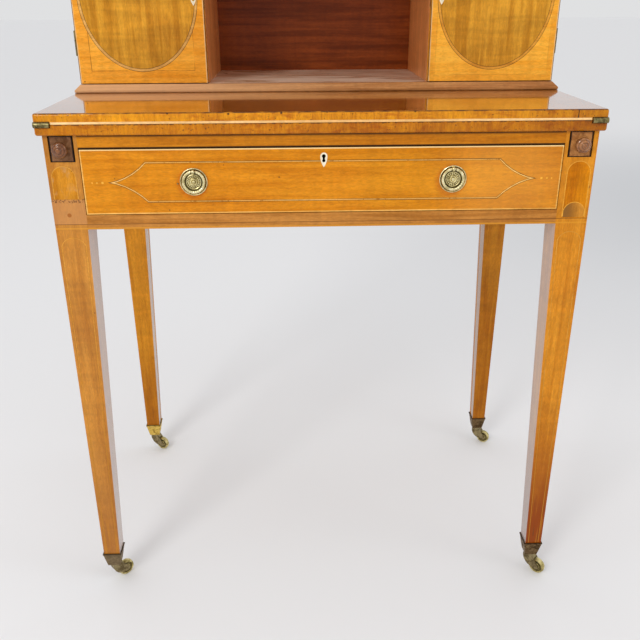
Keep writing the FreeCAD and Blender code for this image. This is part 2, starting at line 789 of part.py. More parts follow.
def tail_points(shoulder, tip):
    """The dovetails of one end of a drawer side, from its lower edge up."""
    pitch = f"drawer_side_height / {TAILS}"
    points = []
    for tail in range(TAILS):
        low, high = f"{pitch} * {tail}", f"{pitch} * {tail + 1}"
        points += [
            (shoulder, f"{low} + dovetail_pin_root / 2"), (tip, f"{low} + dovetail_pin_tip / 2"),
            (tip, f"{high} - dovetail_pin_tip / 2"), (shoulder, f"{high} - dovetail_pin_root / 2")]
    return [(shoulder, "0"), *points, (shoulder, "drawer_side_height")]


front_tails = tail_points("drawer_front_thickness", "dovetail_lap")
back_tails = tail_points("drawer_length - drawer_back_thickness", "drawer_length")
side_blank = padded("drawer_side", "YZ_Plane", "drawer_side_thickness", front_tails + back_tails[::-1])
put(side_blank, "drawer_half - drawer_side_thickness", "front", "drawer_under")
side_blanks = pair("drawer_sides", side_blank)

drawer_bottom = node(block(
    "drawer_bottom", mirrored_span("drawer_half - drawer_side_thickness + drawer_groove"),
    ("drawer_inside - drawer_groove", "front + drawer_length"),
    ("drawer_bottom_under", "drawer_bottom_over")))
drawer_right_side = node(cut("drawer_right_side", side_blank, drawer_bottom))
node(mirrored("drawer_left_side", drawer_right_side))
back_blank = block(
    "drawer_back_board", mirrored_span("drawer_half"),
    ("front + drawer_length - drawer_back_thickness", "front + drawer_length"),
    ("drawer_bottom_over", "drawer_under + drawer_side_height"))
node(cut("drawer_back", back_blank, side_blanks))

drawer_shield = escutcheon("drawer_plate", "0", "front", "drawer_keyhole_up")
drawer_keyhole = keyhole(
    "drawer_keyhole", "0", "front", "drawer_keyhole_up", "drawer_front_thickness - lock_depth")
node(cut("drawer_escutcheon", drawer_shield, drawer_keyhole))
drawer_lock = node(fuse(
    "drawer_lock",
    block("drawer_lock_case", mirrored_span("lock_width / 2"),
          ("drawer_inside - lock_depth", "drawer_inside"),
          ("drawer_front_over - lock_height", "drawer_front_over")),
    block("drawer_lock_selvedge", mirrored_span("lock_width / 2 + lock_selvedge * 2"),
          ("drawer_inside - lock_depth", "drawer_inside"),
          ("drawer_front_over - lock_selvedge", "drawer_front_over"))))


# Ring pulls: round plate with a domed boss, post and bolt, and a ring that swings on a pin in the post

pull_x = "pull_spacing / 2"
pin_up = "drawer_middle + ring_radius"
plate = turned("pull_plate", [
    ("0", "0"), ("plate_radius", "0"), ("plate_radius", "plate_rim_height"),
    ("plate_radius - plate_rim", "plate_rim_height"), ("plate_radius - plate_rim", "plate_thickness"),
    ("boss_radius", "plate_thickness"), ("boss_radius", "boss_step_height"),
    ("boss_dome_radius", "boss_step_height"), ("0", "boss_height"),
], {7: ("boss_curve", 1)})
put(plate, pull_x, "front", "drawer_middle", "front")
post = rod("pull_post", "post_radius", "post_height", (pull_x, "front", pin_up), "front")
bolt = rod("pull_bolt", "bolt_radius", "drawer_front_thickness + nut_thickness",
           (pull_x, "front", "drawer_middle"), "y")
nut = rod("pull_nut", "nut_radius", "nut_thickness", (pull_x, "drawer_inside", "drawer_middle"), "y")
pin_hole = rod("pull_pin_hole", "ring_pin_radius + pin_clearance", "2 * post_radius",
               (pull_x + " - post_radius", "front - ring_lift", pin_up), "x")
pull_plate = cut("pull_backplate", fuse("pull_backplate_solid", plate, post, bolt, nut), pin_hole)
node(pair("ring_pull_backplates", pull_plate))

hoop = doc.addObject("Part::Torus", "pull_hoop")
bind(hoop, "Radius1", "ring_radius")
bind(hoop, "Radius2", "ring_section")
put(hoop, pull_x, "front - ring_lift", "drawer_middle", "front")
post_gap = block(
    "pull_post_gap", (pull_x + " - post_radius - post_room", pull_x + " + post_radius + post_room"),
    ("front - ring_lift - ring_section", "front - ring_lift + ring_section"),
    ("drawer_middle", pin_up + " + ring_section"))
ring_pin_half = "post_radius + post_room + ring_pin_reach"
ring_pin = rod("pull_ring_pin", "ring_pin_radius", f"2 * ({ring_pin_half})",
               (f"{pull_x} - ({ring_pin_half})", "front - ring_lift", pin_up), "x")
right_ring = node(fuse("right_pull_ring", cut("pull_open_hoop", hoop, post_gap), ring_pin))
node(mirrored("left_pull_ring", right_ring))

front_blank = block(
    "drawer_front_board", mirrored_span("drawer_half"), ("front", "drawer_inside"),
    ("drawer_front_under", "drawer_front_over"))
bolt_holes = pair("pull_bolts", bolt)
node(cut("drawer_front", front_blank, side_blanks, drawer_bottom, drawer_shield, drawer_keyhole, drawer_lock,
         bolt_holes))


# Cupboard doors on butt hinges, each with a lock, and the cupboard ends that carry them

door_blank = block("door_board", ("door_inside", "door_outside"), ("door_face", "door_back"),
                   ("door_under", "door_over"))
door_shield = escutcheon("door_plate", "door_keyhole_out", "door_face", "door_keyhole_up")
door_keyhole = keyhole("door_keyhole", "door_keyhole_out", "door_face", "door_keyhole_up",
                       "door_thickness - door_lock_depth")
door_escutcheon = cut("right_door_escutcheon", door_shield, door_keyhole)
door_lock = block(
    "right_door_lock", ("door_inside", "door_inside + door_lock_width"),
    ("door_back - door_lock_depth", "door_back"),
    ("door_keyhole_up - door_lock_height / 2", "door_keyhole_up + door_lock_height / 2"))

door_plates, jamb_plates, door_leaves, jamb_leaves, door_pins = [], [], [], [], []
hinge_levels = {
    "lower": "door_under + door_hinge_inset",
    "upper": "door_over - door_hinge_inset - door_hinge_height",
}
for place, level in hinge_levels.items():
    width = ("cupboard_half - door_plate_width", "door_axis_out")
    height = (level, f"{level} + door_hinge_height")
    at = ("door_axis_out", "door_axis_back", level)
    barrel = ("door_hinge_height", "door_knuckle_radius", "door_knuckle_room")
    plate_on_door = block(f"{place}_door_plate", width,
                          ("door_back - door_plate_thickness", "door_back"), height)
    plate_on_jamb = block(f"{place}_jamb_plate", width,
                          ("cupboard_front", "cupboard_front + door_plate_thickness"), height)
    door_plates.append(plate_on_door)
    jamb_plates.append(plate_on_jamb)
    door_leaves.append(hinge_leaf(
        f"{place}_door_leaf", plate_on_door, at, "z", *barrel, "door_pin_radius + pin_clearance", (1,)))
    jamb_leaves.append(hinge_leaf(
        f"{place}_jamb_leaf", plate_on_jamb, at, "z", *barrel, "door_pin_radius", (0, 2)))
    door_pins.append(rod(f"{place}_door_pin", "door_pin_radius", "door_hinge_height", at, "z"))

right_door = cut("right_door", door_blank, door_shield, door_keyhole, door_lock, *door_plates)
for piece in (right_door, group("right_door_hinge_plates", *door_leaves), door_escutcheon, door_lock):
    node(piece)
    node(mirrored(piece.Name.replace("right", "left"), piece))
right_end = node(cut("right_cupboard_end", end_blank, stage_back, *jamb_plates))
node(mirrored("left_cupboard_end", right_end))
node(pair("door_hinge_jamb_plates", group("right_jamb_plates", *jamb_leaves)))
node(pair("hinge_pins", group("right_hinge_pins", leaf_pin, *door_pins)))


# Casters: a tapered box cup on each foot, a fork that swivels under it and a wheel on a riveted axle

def caster_cup(name, x, y):
    """The square brass socket of a foot, with a lip round its rim."""
    def square(width):
        return (f"-({width}) / 2", f"({width}) / 2")
    plain = square("foot_width + 2 * cup_wall")
    lipped = square("foot_width + 2 * cup_wall + 2 * cup_lip")
    bottom, hollow_bottom = square("cup_bottom_width"), square("cup_inner_bottom")
    hollow_rim = square("foot_width")
    outer = tapered(name + "_outer", [
        ("cup_under", bottom, bottom), ("cup_rim - cup_lip_height - cup_lip", plain, plain),
        ("cup_rim - cup_lip_height", lipped, lipped), ("cup_rim", lipped, lipped)])
    hollow = tapered(name + "_hollow", [
        ("cup_floor", hollow_bottom, hollow_bottom), ("cup_rim", hollow_rim, hollow_rim)])
    hole = rod(name + "_hole", "stem_radius + stem_clearance", "cup_floor_thickness",
               ("0", "0", "cup_under"), "z")
    return put(cut(name, outer, hollow, hole), x, y)


def caster_fork(name, x, y, angle):
    """A forked horn under its swivel stem, with the wheel's axle riveted through the cheeks."""
    horn = padded(name + "_horn", "XZ_Plane", "fork_width", [
        ("-horn_top_half", "crown_over"), ("horn_top_half", "crown_over"),
        ("wheel_trail + eye_reach", "wheel_radius + eye_rise"),
        ("wheel_trail - eye_rise", "wheel_radius - eye_reach"),
    ], {3: ("horn_back_radius", -1)}, offset="-fork_width / 2")
    wheel_middle = ("wheel_trail", "0", "wheel_radius")
    eye = rod(name + "_eye", "cheek_radius", "fork_width", shifted(wheel_middle, "y", "-fork_width / 2"), "y")
    crown = rod(name + "_crown", "crown_radius", "crown_height", ("0", "0", "crown_under"), "z")
    stem = rod(name + "_stem", "stem_radius", "stem_top - crown_over", ("0", "0", "crown_over"), "z")
    head = rod(name + "_stem_head", "stem_head_radius", "stem_head_height", ("0", "0", "stem_top"), "z")
    slot = rod(name + "_slot", "wheel_radius + wheel_room", "fork_slot",
               shifted(wheel_middle, "y", "-fork_slot / 2"), "y")
    axle = rod(name + "_axle", "axle_radius", "fork_width + 2 * axle_head",
               shifted(wheel_middle, "y", "-fork_width / 2 - axle_head"), "y")
    fork = cut(name + "_body", fuse(name + "_solid", horn, eye, crown, stem, head), slot, axle)
    caster = put(group(name, fork, axle), x, y)
    bind(caster, "Placement.Rotation.Angle", angle)
    return caster


def caster_wheel(name, x, y, angle):
    """A brass wheel with a crowned tread and dished sides."""
    bore, half, web = "axle_radius + axle_clearance", "wheel_width / 2", "wheel_web / 2"
    rim, tread = "wheel_radius - wheel_rim_depth", "wheel_radius - wheel_crown"
    side = [(bore, half), ("hub_radius", half), ("hub_radius + wheel_crown", web),
            (f"{rim} - wheel_crown", web), (rim, half), (tread, half)]
    lower = [(across, f"-({up})") for across, up in side]
    wheel = turned(name, lower + side[::-1], {len(side) - 1: ("tread_curve", 1)}, "XY_Plane")
    put(wheel, f"{x} + wheel_trail * cos({angle})", f"{y} + wheel_trail * sin({angle})", "wheel_radius")
    bind(wheel, "Placement.Rotation.Angle", angle)
    return wheel


corners = {
    "front_left": ("-foot_out", "foot_front"),
    "front_right": ("foot_out", "foot_front"),
    "back_left": ("-foot_out", "foot_back"),
    "back_right": ("foot_out", "foot_back"),
}
cups = []
for corner, foot in corners.items():
    angle = corner + "_trail_angle"
    cups.append(caster_cup(corner + "_caster_cup", *foot))
    node(caster_fork(corner + "_caster_fork", *foot, angle))
    node(caster_wheel(corner + "_caster_wheel", *foot, angle))
node(group("caster_cups", *cups))


# Every feature has to have worked before a piece is written
doc.recompute()
failed = [thing.Name for thing in doc.Objects if {"Invalid", "Error"} & set(thing.State)]
faulty = [piece.Label for piece in nodes if piece.Shape.isNull() or not piece.Shape.isValid()]
if failed or faulty:
    raise RuntimeError(f"failed features {failed}, faulty pieces {faulty}")
os.makedirs("parts", exist_ok=True)
for piece in nodes:
    piece.Shape.exportStep(f"parts/{piece.Label}.step")
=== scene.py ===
import json
import math

import bpy
from mathutils import Matrix, Vector


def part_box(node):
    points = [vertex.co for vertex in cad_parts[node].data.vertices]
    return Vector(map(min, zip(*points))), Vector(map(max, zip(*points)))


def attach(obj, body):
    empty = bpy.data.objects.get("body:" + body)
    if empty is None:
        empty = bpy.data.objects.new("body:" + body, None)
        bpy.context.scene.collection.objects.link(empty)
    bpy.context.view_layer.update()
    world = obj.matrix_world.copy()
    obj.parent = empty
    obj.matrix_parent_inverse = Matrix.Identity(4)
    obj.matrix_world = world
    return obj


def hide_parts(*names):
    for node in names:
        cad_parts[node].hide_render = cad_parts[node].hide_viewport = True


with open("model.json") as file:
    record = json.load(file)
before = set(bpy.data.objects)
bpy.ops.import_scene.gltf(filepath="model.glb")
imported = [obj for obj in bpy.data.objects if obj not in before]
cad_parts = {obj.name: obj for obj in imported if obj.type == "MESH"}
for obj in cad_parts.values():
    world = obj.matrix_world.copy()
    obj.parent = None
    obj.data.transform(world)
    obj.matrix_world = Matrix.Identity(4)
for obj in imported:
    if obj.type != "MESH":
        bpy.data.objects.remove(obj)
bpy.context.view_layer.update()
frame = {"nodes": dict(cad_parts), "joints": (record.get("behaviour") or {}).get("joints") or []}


# The view. The table stands on pale paper in an even light, and the camera stands before it, a little
# left of its middle and above the writing leaf, looking down.
camera_place = (-0.0385, -1.2086, 0.9146)
camera_turn, camera_dip, camera_lean = -1.87, 23.55, -0.21
bpy.ops.object.select_all(action="DESELECT")
bpy.ops.object.camera_add(location=camera_place)
camera = bpy.context.object
camera.data.lens = 42.2
camera.data.sensor_width = 36
heading = Matrix.Rotation(math.radians(camera_turn), 4, "Z")
tilt = Matrix.Rotation(math.radians(90 - camera_dip), 4, "X")
lean = Matrix.Rotation(math.radians(camera_lean), 4, "Z")
camera.rotation_euler = (heading @ tilt @ lean).to_euler()
bpy.context.scene.camera = camera


def feed(socket, value):
    """Joins a socket to another node, or sets its own value. A colour of three parts is opaque."""
    if isinstance(value, bpy.types.NodeSocket):
        socket.id_data.links.new(value, socket)
    else:
        socket.default_value = (*value, 1) if socket.type == "RGBA" else value


def grown(kind, *values):
    """A new node among the nodes that its values come from."""
    tree = next(value.id_data for value in values if isinstance(value, bpy.types.NodeSocket))
    return tree.nodes.new("ShaderNode" + kind)


def maths(operation, first, second=0.0, kind="Math"):
    node = grown(kind, first, second)
    node.operation = operation
    feed(node.inputs[0], first)
    feed(node.inputs[1], second)
    return node.outputs[0]


def vectors(operation, first, second):
    node = maths(operation, first, second, "VectorMath").node
    return node.outputs["Value" if operation == "DISTANCE" else "Vector"]


def ranged(value, low, high, start=0.0, end=1.0):
    """Follows a value smoothly between two limits, and no further."""
    node = grown("MapRange", value)
    node.interpolation_type = "SMOOTHSTEP"
    labels = ("Value", "From Min", "From Max", "To Min", "To Max")
    for label, given in zip(labels, (value, low, high, start, end)):
        feed(node.inputs[label], given)
    return node.outputs["Result"]


def mixed(amount, first, second, blend="MIX"):
    node = grown("Mix", amount, first, second)
    node.data_type = "RGBA"
    node.blend_type = blend
    for index, value in ((0, amount), (6, first), (7, second)):
        feed(node.inputs[index], value)
    return node.outputs[2]


def new_material(name):
    """A material and the sockets of its shader."""
    material = bpy.data.materials.new(name)
    material.use_nodes = True
    return material, material.node_tree.nodes["Principled BSDF"].inputs


def place_on(material):
    return material.node_tree.nodes.new("ShaderNodeTexCoord").outputs["Object"]


paper_white = (0.80, 0.795, 0.795)
paper_shade = (0.62, 0.625, 0.635)
shade_middle = (2.1, 2.2, 0)
bpy.ops.mesh.primitive_plane_add(size=60)
floor = bpy.context.object
floor.name = "paper_floor"
paper, paper_sockets = new_material("paper")
paper_sockets["Roughness"].default_value = 0.9
paper_sockets["Specular IOR Level"].default_value = 0.1
shaded = ranged(vectors("DISTANCE", place_on(paper), shade_middle), 2.4, 0.2)
feed(paper_sockets["Base Color"], mixed(shaded, paper_white, paper_shade))
floor.data.materials.append(paper)

room = bpy.data.worlds.new("pale_room")
bpy.context.scene.world = room
room.use_nodes = True
room_nodes = room.node_tree.nodes
room_light = room_nodes["Background"]
feed(room_light.inputs["Color"], (0.97, 0.98, 1))
room_light.inputs["Strength"].default_value = 0.93
room_seen = room_nodes.new("ShaderNodeBackground")
feed(room_seen.inputs["Color"], (0.745, 0.75, 0.757))
ray = room_nodes.new("ShaderNodeLightPath").outputs
seen = maths("MAXIMUM", ray["Is Camera Ray"], ray["Is Glossy Ray"])
seen = maths("MAXIMUM", seen, ray["Is Transmission Ray"])
room_mix = room_nodes.new("ShaderNodeMixShader")
for socket, value in zip(room_mix.inputs, (seen, room_light.outputs[0], room_seen.outputs[0])):
    feed(socket, value)
feed(room_nodes["World Output"].inputs["Surface"], room_mix.outputs[0])

lamp_aim = Vector((0, 0, 0.6))
for name, place, size, power in (
        ("softbox_front", (-1.5, -2.4, 2.4), 0.9, 30),
        ("softbox_right", (2.4, -1.2, 1.9), 0.9, 5)):
    bpy.ops.object.light_add(type="AREA", location=place)
    lamp = bpy.context.object
    lamp.name = name
    lamp.data.size = size
    lamp.data.energy = power
    lamp.rotation_euler = (lamp_aim - lamp.location).to_track_quat("-Z", "Y").to_euler()

bpy.context.scene.view_settings.view_transform = "Standard"


# Legs. Four square legs of satinwood, tapered on their inner faces below the frieze. The front pair
# carry the lopers in a notch at the top and are inlaid with fine boxwood lines.
def times(*factors):
    product = factors[0]
    for factor in factors[1:]:
        product = maths("MULTIPLY", product, factor)
    return product


def between(value, low, high, soft):
    """Shows where a value lies between two limits."""
    return times(ranged(value, low - soft, low + soft), ranged(value, high + soft, high - soft))


def cloudy(place, stretch, detail=2.0, rough=0.5, swirl=0.0):
    """Uneven tone, drawn out by its number of changes to the metre along each axis."""
    node = grown("TexNoise", place)
    feed(node.inputs["Vector"], vectors("MULTIPLY", place, stretch))
    for label, value in (("Scale", 1), ("Detail", detail), ("Roughness", rough), ("Distortion", swirl)):
        node.inputs[label].default_value = value
    return node.outputs["Fac"]


def cells(place, scale):
    node = grown("TexVoronoi", place)
    feed(node.inputs["Vector"], place)
    node.inputs["Scale"].default_value = scale
    return node.outputs


def split(place):
    node = grown("SeparateXYZ", place)
    feed(node.inputs[0], place)
    return node.outputs


def new_group(name, takes, gives):
    """An empty effect with its named inputs and outputs."""
    tree = bpy.data.node_groups.new(name, "ShaderNodeTree")
    for way, sockets in (("INPUT", takes), ("OUTPUT", gives)):
        for label, kind in sockets.items():
            tree.interface.new_socket(label, in_out=way, socket_type="NodeSocket" + kind)
    return tree, tree.nodes.new("NodeGroupInput").outputs, tree.nodes.new("NodeGroupOutput").inputs


def effect(group, **values):
    node = grown("Group", *values.values())
    node.node_tree = group
    for label, value in values.items():
        feed(node.inputs[label], value)
    return node.outputs


wood_figure, given, made = new_group(
    "wood_figure",
    {"Grain": "Vector", "Pale": "Color", "Deep": "Color", "Contrast": "Float", "Ripple": "Float",
     "Polish": "Float"},
    {"Color": "Color", "Roughness": "Float", "Height": "Float"})
streaks = cloudy(given["Grain"], (5, 120, 120), 6, 0.6, 0.5)
broad = cloudy(given["Grain"], (2.5, 16, 16), 3, 0.5, 0.3)
shimmer = cloudy(given["Grain"], (42, 7, 7), 3, 0.55, 1.2)
fleck = cloudy(given["Grain"], (130, 420, 420), 3, 0.6, 0.8)
pores = ranged(cloudy(given["Grain"], (55, 1500, 1500), 2), 0.6, 0.72)
lines = times(maths("SUBTRACT", streaks, 0.5), given["Contrast"], 2.2)
figure = mixed(ranged(maths("ADD", lines, broad), 0.15, 0.85), given["Pale"], given["Deep"])
figure = mixed(given["Ripple"], figure, ranged(shimmer, 0.3, 0.7, 0.62, 1.38), "MULTIPLY")
figure = mixed(1.0, figure, ranged(fleck, 0.3, 0.7, 0.88, 1.1), "MULTIPLY")
figure = mixed(times(pores, 0.4), figure, (0.5, 0.36, 0.26), "MULTIPLY")
feed(made["Color"], figure)
dulled = maths("ADD", times(pores, 0.12), times(broad, 0.1))
feed(made["Roughness"], maths("ADD", given["Polish"], dulled))
feed(made["Height"], maths("SUBTRACT", times(streaks, 0.5), pores))

age_marks, given, made = new_group("age_marks", {"Place": "Vector"}, {"Marks": "Float", "Grime": "Float"})
dents = cells(given["Place"], 34)
dent_size = ranged(dents["Color"], 0.45, 0.95, 0.001, 0.05)
feed(made["Marks"], ranged(maths("DIVIDE", dents["Distance"], dent_size), 1, 0.5))
feed(made["Grime"], ranged(cloudy(given["Place"], (11, 11, 11), 5, 0.6, 0.5), 0.5, 0.8))

edge_band, given, made = new_group(
    "edge_band", {"Place": "Vector", "Low": "Vector", "High": "Vector", "Reach": "Float"}, {"Mask": "Float"})
from_low = vectors("SUBTRACT", given["Place"], given["Low"])
from_high = vectors("SUBTRACT", given["High"], given["Place"])
across, deep_in, up = split(vectors("MINIMUM", from_low, from_high))
nearer = maths("MINIMUM", across, deep_in)
farther = maths("MAXIMUM", across, deep_in)
from_edge = maths("MAXIMUM", nearer, maths("MINIMUM", farther, up))
ragged = ranged(cloudy(given["Place"], (60, 60, 60), 4, 0.7), 0.35, 0.65, 0.1, 1)
feed(made["Mask"], ranged(from_edge, times(given["Reach"], ragged), 0))

grain_turns = {"x": (0, 0, 0), "y": (0, 0, -math.pi / 2), "z": (0, math.pi / 2, 0)}
mark_brown = (0.05, 0.02, 0.008)


def along_grain(at, grain):
    """A place on the wood, turned so that its grain runs along X."""
    turned = grown("Mapping", at)
    feed(turned.inputs["Vector"], at)
    turned.inputs["Rotation"].default_value = grain_turns[grain]
    return turned.outputs[0]


def bumped(sockets, height, strength, depth):
    """Gives a surface its fine relief."""
    relief = grown("Bump", height)
    relief.inputs["Strength"].default_value = strength
    relief.inputs["Distance"].default_value = depth
    feed(relief.inputs["Height"], height)
    feed(sockets["Normal"], relief.outputs[0])


def wood(name, grain, pale, deep, contrast=0.8, ripple=0.15, polish=0.16, box=None, reach=0.003,
         gloss=0.15, coat=0.0):
    """Polished wood with its figure, pores, dents and darkened edges."""
    material, sockets = new_material(name)
    at = place_on(material)
    figured = effect(wood_figure, Grain=along_grain(at, grain), Pale=pale, Deep=deep, Contrast=contrast,
                     Ripple=ripple, Polish=polish)
    aged = effect(age_marks, Place=at)
    color = mixed(times(aged["Grime"], 0.4), figured["Color"], (0.68, 0.52, 0.4), "MULTIPLY")
    color = mixed(times(aged["Marks"], 0.75), color, mark_brown)
    if box:
        rim = effect(edge_band, Place=at, Low=box[0], High=box[1], Reach=reach)
        color = mixed(times(rim["Mask"], 0.7), color, (0.3, 0.2, 0.13), "MULTIPLY")
    feed(sockets["Base Color"], color)
    feed(sockets["Roughness"], figured["Roughness"])
    bumped(sockets, figured["Height"], 0.12, 0.0004)
    sockets["Specular IOR Level"].default_value = gloss
    sockets["Coat Weight"].default_value = coat
    sockets["Coat Roughness"].default_value = 0.07
    return material


def overlay(material, color, *masks, blend="MIX"):
    """Lays one more colour over a material, as far as all the masks let it show."""
    socket = material.node_tree.nodes["Principled BSDF"].inputs["Base Color"]
    feed(socket, mixed(times(*masks), socket.links[0].from_socket, color, blend))


def coordinate(material, axis):
    """One coordinate of a place on a material."""
    return split(place_on(material))[axis]


def spot(material, x, z, inside, outside):
    """Shows a round place on a front face."""
    flat = vectors("MULTIPLY", place_on(material), (1, 0, 1))
    return ranged(vectors("DISTANCE", flat, (x, 0, z)), outside, inside)


def dress(material, *names):
    for name in names:
        surface = frame["nodes"][name].data.materials
        surface.clear()
        surface.append(material)


leg_low, leg_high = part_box("front_right_leg")
leg_face = leg_low.y
leg_out = leg_high.x
leg_in = 0.322
foot_in = 0.3395
foot_top = 0.062
frieze_low = 0.6196
collar_line = 0.6268
taper = (foot_in - leg_in) / (frieze_low - foot_top)
dark_line = (0.10, 0.035, 0.008)
pale_collar = (0.72, 0.30, 0.02)
dark_streak = (0.12, 0.042, 0.008)
gold_streak = (0.60, 0.23, 0.012)


def leg_finish(name, pale, deep, foot, strength, gloss, painted_reflection):
    """Satinwood that turns redder and darker towards the foot, with a pale painted reflection on the inner
    face.
    """
    material = wood(name, "z", pale, deep, 0.75, 0.2, 0.13, gloss=gloss, coat=0.05)
    height = coordinate(material, "Z")
    overlay(material, foot, ranged(height, 0.36, 0.10), strength)
    low_down = ranged(height, 0.24, 0.07)
    for stretch, color in (((260, 260, 22), dark_streak), ((230, 230, 9), gold_streak)):
        streaks = ranged(cloudy(place_on(material), stretch, 3, 0.6, 0.4), 0.56, 0.68)
        overlay(material, color, streaks, low_down, 0.45)
    below = maths("MAXIMUM", maths("SUBTRACT", frieze_low, height), 0.0)
    inner = maths("ADD", times(below, taper), leg_in)
    inward = maths("SUBTRACT", maths("ABSOLUTE", coordinate(material, "X")), inner)
    from_middle = maths("ABSOLUTE", coordinate(material, "Y"))
    # Painted reflection: the inner face is painted pale grey, as if its polish mirrored the pale room.
    overlay(material, painted_reflection, ranged(inward, 0.0006, 0.0002), ranged(height, 0.10, 0.40, 0.70, 0.58),
            ranged(height, frieze_low, frieze_low - 0.001),
            ranged(from_middle, -leg_face + 0.0004, -leg_face - 0.0004))
    return material


def ahead_of(material, face):
    """Shows what lies within a millimetre or two of a front face."""
    return ranged(coordinate(material, "Y"), face + 0.002, face + 0.001)


def collared(material):
    """A dark line and a paler band low on the frieze, on front faces only."""
    height = coordinate(material, "Z")
    in_front = ahead_of(material, leg_face)
    band = between(height, frieze_low + 0.0002, frieze_low + 0.0024, 0.0003)
    overlay(material, pale_collar, in_front, band, 0.6)
    cut = between(height, collar_line - 0.0004, collar_line + 0.0004, 0.0002)
    overlay(material, dark_line, in_front, cut, 0.75)


patch_top = 0.6618
plug_x, plug_z = -0.3447, 0.6397
knot_x, knot_z = 0.361, 0.6706
left_leg_wood = leg_finish("left_leg_satinwood", (0.62, 0.255, 0.030), (0.43, 0.150, 0.010),
                           (0.30, 0.095, 0.015), 0.5, 0.3, (0.62, 0.60, 0.60))
patch_up = coordinate(left_leg_wood, "Z")
patch_ahead = ahead_of(left_leg_wood, leg_face)
overlay(left_leg_wood, (0.56, 0.25, 0.09), between(patch_up, collar_line, 0.661, 0.0003), patch_ahead, 0.5)
patch_edge = between(patch_up, 0.6568, 0.6620, 0.0008)
patch_specks = ranged(cloudy(place_on(left_leg_wood), (430, 430, 560), 2, 0.6), 0.50, 0.57)
overlay(left_leg_wood, dark_line, patch_edge, patch_specks, patch_ahead, 0.8)
overlay(left_leg_wood, (0.34, 0.090, 0.003), spot(left_leg_wood, plug_x, plug_z, 0.0024, 0.0032), 0.8)
collared(left_leg_wood)
dress(left_leg_wood, "front_left_leg")
right_leg_wood = leg_finish("right_leg_satinwood", (0.76, 0.300, 0.018), (0.55, 0.185, 0.006),
                            (0.27, 0.050, 0.001), 1.0, 0.16, (0.50, 0.475, 0.45))
overlay(right_leg_wood, (0.20, 0.06, 0.01), spot(right_leg_wood, knot_x, knot_z, 0.0018, 0.0032), 0.7)
collared(right_leg_wood)
dress(right_leg_wood, "front_right_leg")
for side, pale, deep, painted_reflection in (
        ("left", (0.66, 0.265, 0.014), (0.46, 0.155, 0.005), (0.60, 0.57, 0.53)),
        ("right", (0.54, 0.205, 0.010), (0.37, 0.112, 0.003), (0.46, 0.41, 0.37))):
    dress(leg_finish(f"back_{side}_leg_satinwood", pale, deep, (0.30, 0.080, 0.003), 0.45, 0.13, painted_reflection),
          f"back_{side}_leg")

old_boxwood = wood("old_boxwood", "x", (0.86, 0.42, 0.055), (0.72, 0.31, 0.03), 0.8, 0.1, 0.2)
faint_boxwood = wood("faint_boxwood", "x", (0.72, 0.34, 0.05), (0.56, 0.23, 0.02), 0.8, 0.1, 0.2)
overlay(faint_boxwood, (0.44, 0.17, 0.012), ranged(coordinate(faint_boxwood, "Z"), 0.5, 0.2, 0, 0.8))
ink_depth = 0.00006


def begun(name, add, scale=(1, 1, 1), **options):
    """Starts a piece from a primitive, with nothing else selected and no turn or scale of its own."""
    bpy.ops.object.select_all(action="DESELECT")
    add(**options)
    piece = bpy.context.object
    piece.name = name
    piece.scale = scale
    bpy.ops.object.transform_apply(location=True, rotation=True, scale=True)
    return piece


def whole():
    """Selects all of the open mesh, vertices and what they bound."""
    bpy.ops.mesh.select_mode(type="VERT")
    bpy.ops.mesh.select_all(action="SELECT")


def opened():
    """Opens the active mesh with all of it selected."""
    bpy.ops.object.mode_set(mode="EDIT")
    whole()


def closed():
    """Turns all faces of the open mesh outward and closes it."""
    whole()
    bpy.ops.mesh.normals_make_consistent(inside=False)
    bpy.ops.object.mode_set(mode="OBJECT")


def choose(piece, kind, test):
    """Opens a mesh with only those of its vertices or faces selected that pass a test."""
    bpy.ops.object.mode_set(mode="EDIT")
    bpy.ops.mesh.select_mode(type=kind)
    bpy.ops.mesh.select_all(action="DESELECT")
    bpy.ops.object.mode_set(mode="OBJECT")
    for item in piece.data.vertices if kind == "VERT" else piece.data.polygons:
        item.select = test(item)
    bpy.ops.object.mode_set(mode="EDIT")


def extruded(x, y, z):
    bpy.ops.mesh.extrude_region_move(TRANSFORM_OT_translate={"value": (x, y, z)})


def drawn(name, start, runs):
    """A flat outline on a front face: one vertex is extruded along straight runs and spun round bows."""
    piece = begun(name, bpy.ops.mesh.primitive_plane_add, size=0.001, location=start)
    opened()
    bpy.ops.mesh.merge(type="CENTER")
    x, y, z = start
    for to_x, to_z, bow in runs:
        if bow == 0:
            extruded(to_x - x, 0, to_z - z)
        else:
            half = math.hypot(to_x - x, to_z - z) / 2
            radius = (half ** 2 + bow ** 2) / (2 * abs(bow))
            inset = math.copysign(radius - abs(bow), bow) / (2 * half)
            centre = ((x + to_x) / 2 + (to_z - z) * inset, y, (z + to_z) / 2 - (to_x - x) * inset)
            sweep = 2 * math.atan2(half, radius - abs(bow))
            bpy.ops.mesh.spin(steps=max(4, round(math.degrees(sweep) / 7.5)),
                              angle=-math.copysign(sweep, bow), center=centre, axis=(0, 1, 0))
        x, z = to_x, to_z
    whole()
    bpy.ops.mesh.remove_doubles(threshold=0.00001)
    bpy.ops.mesh.edge_face_add()
    return piece


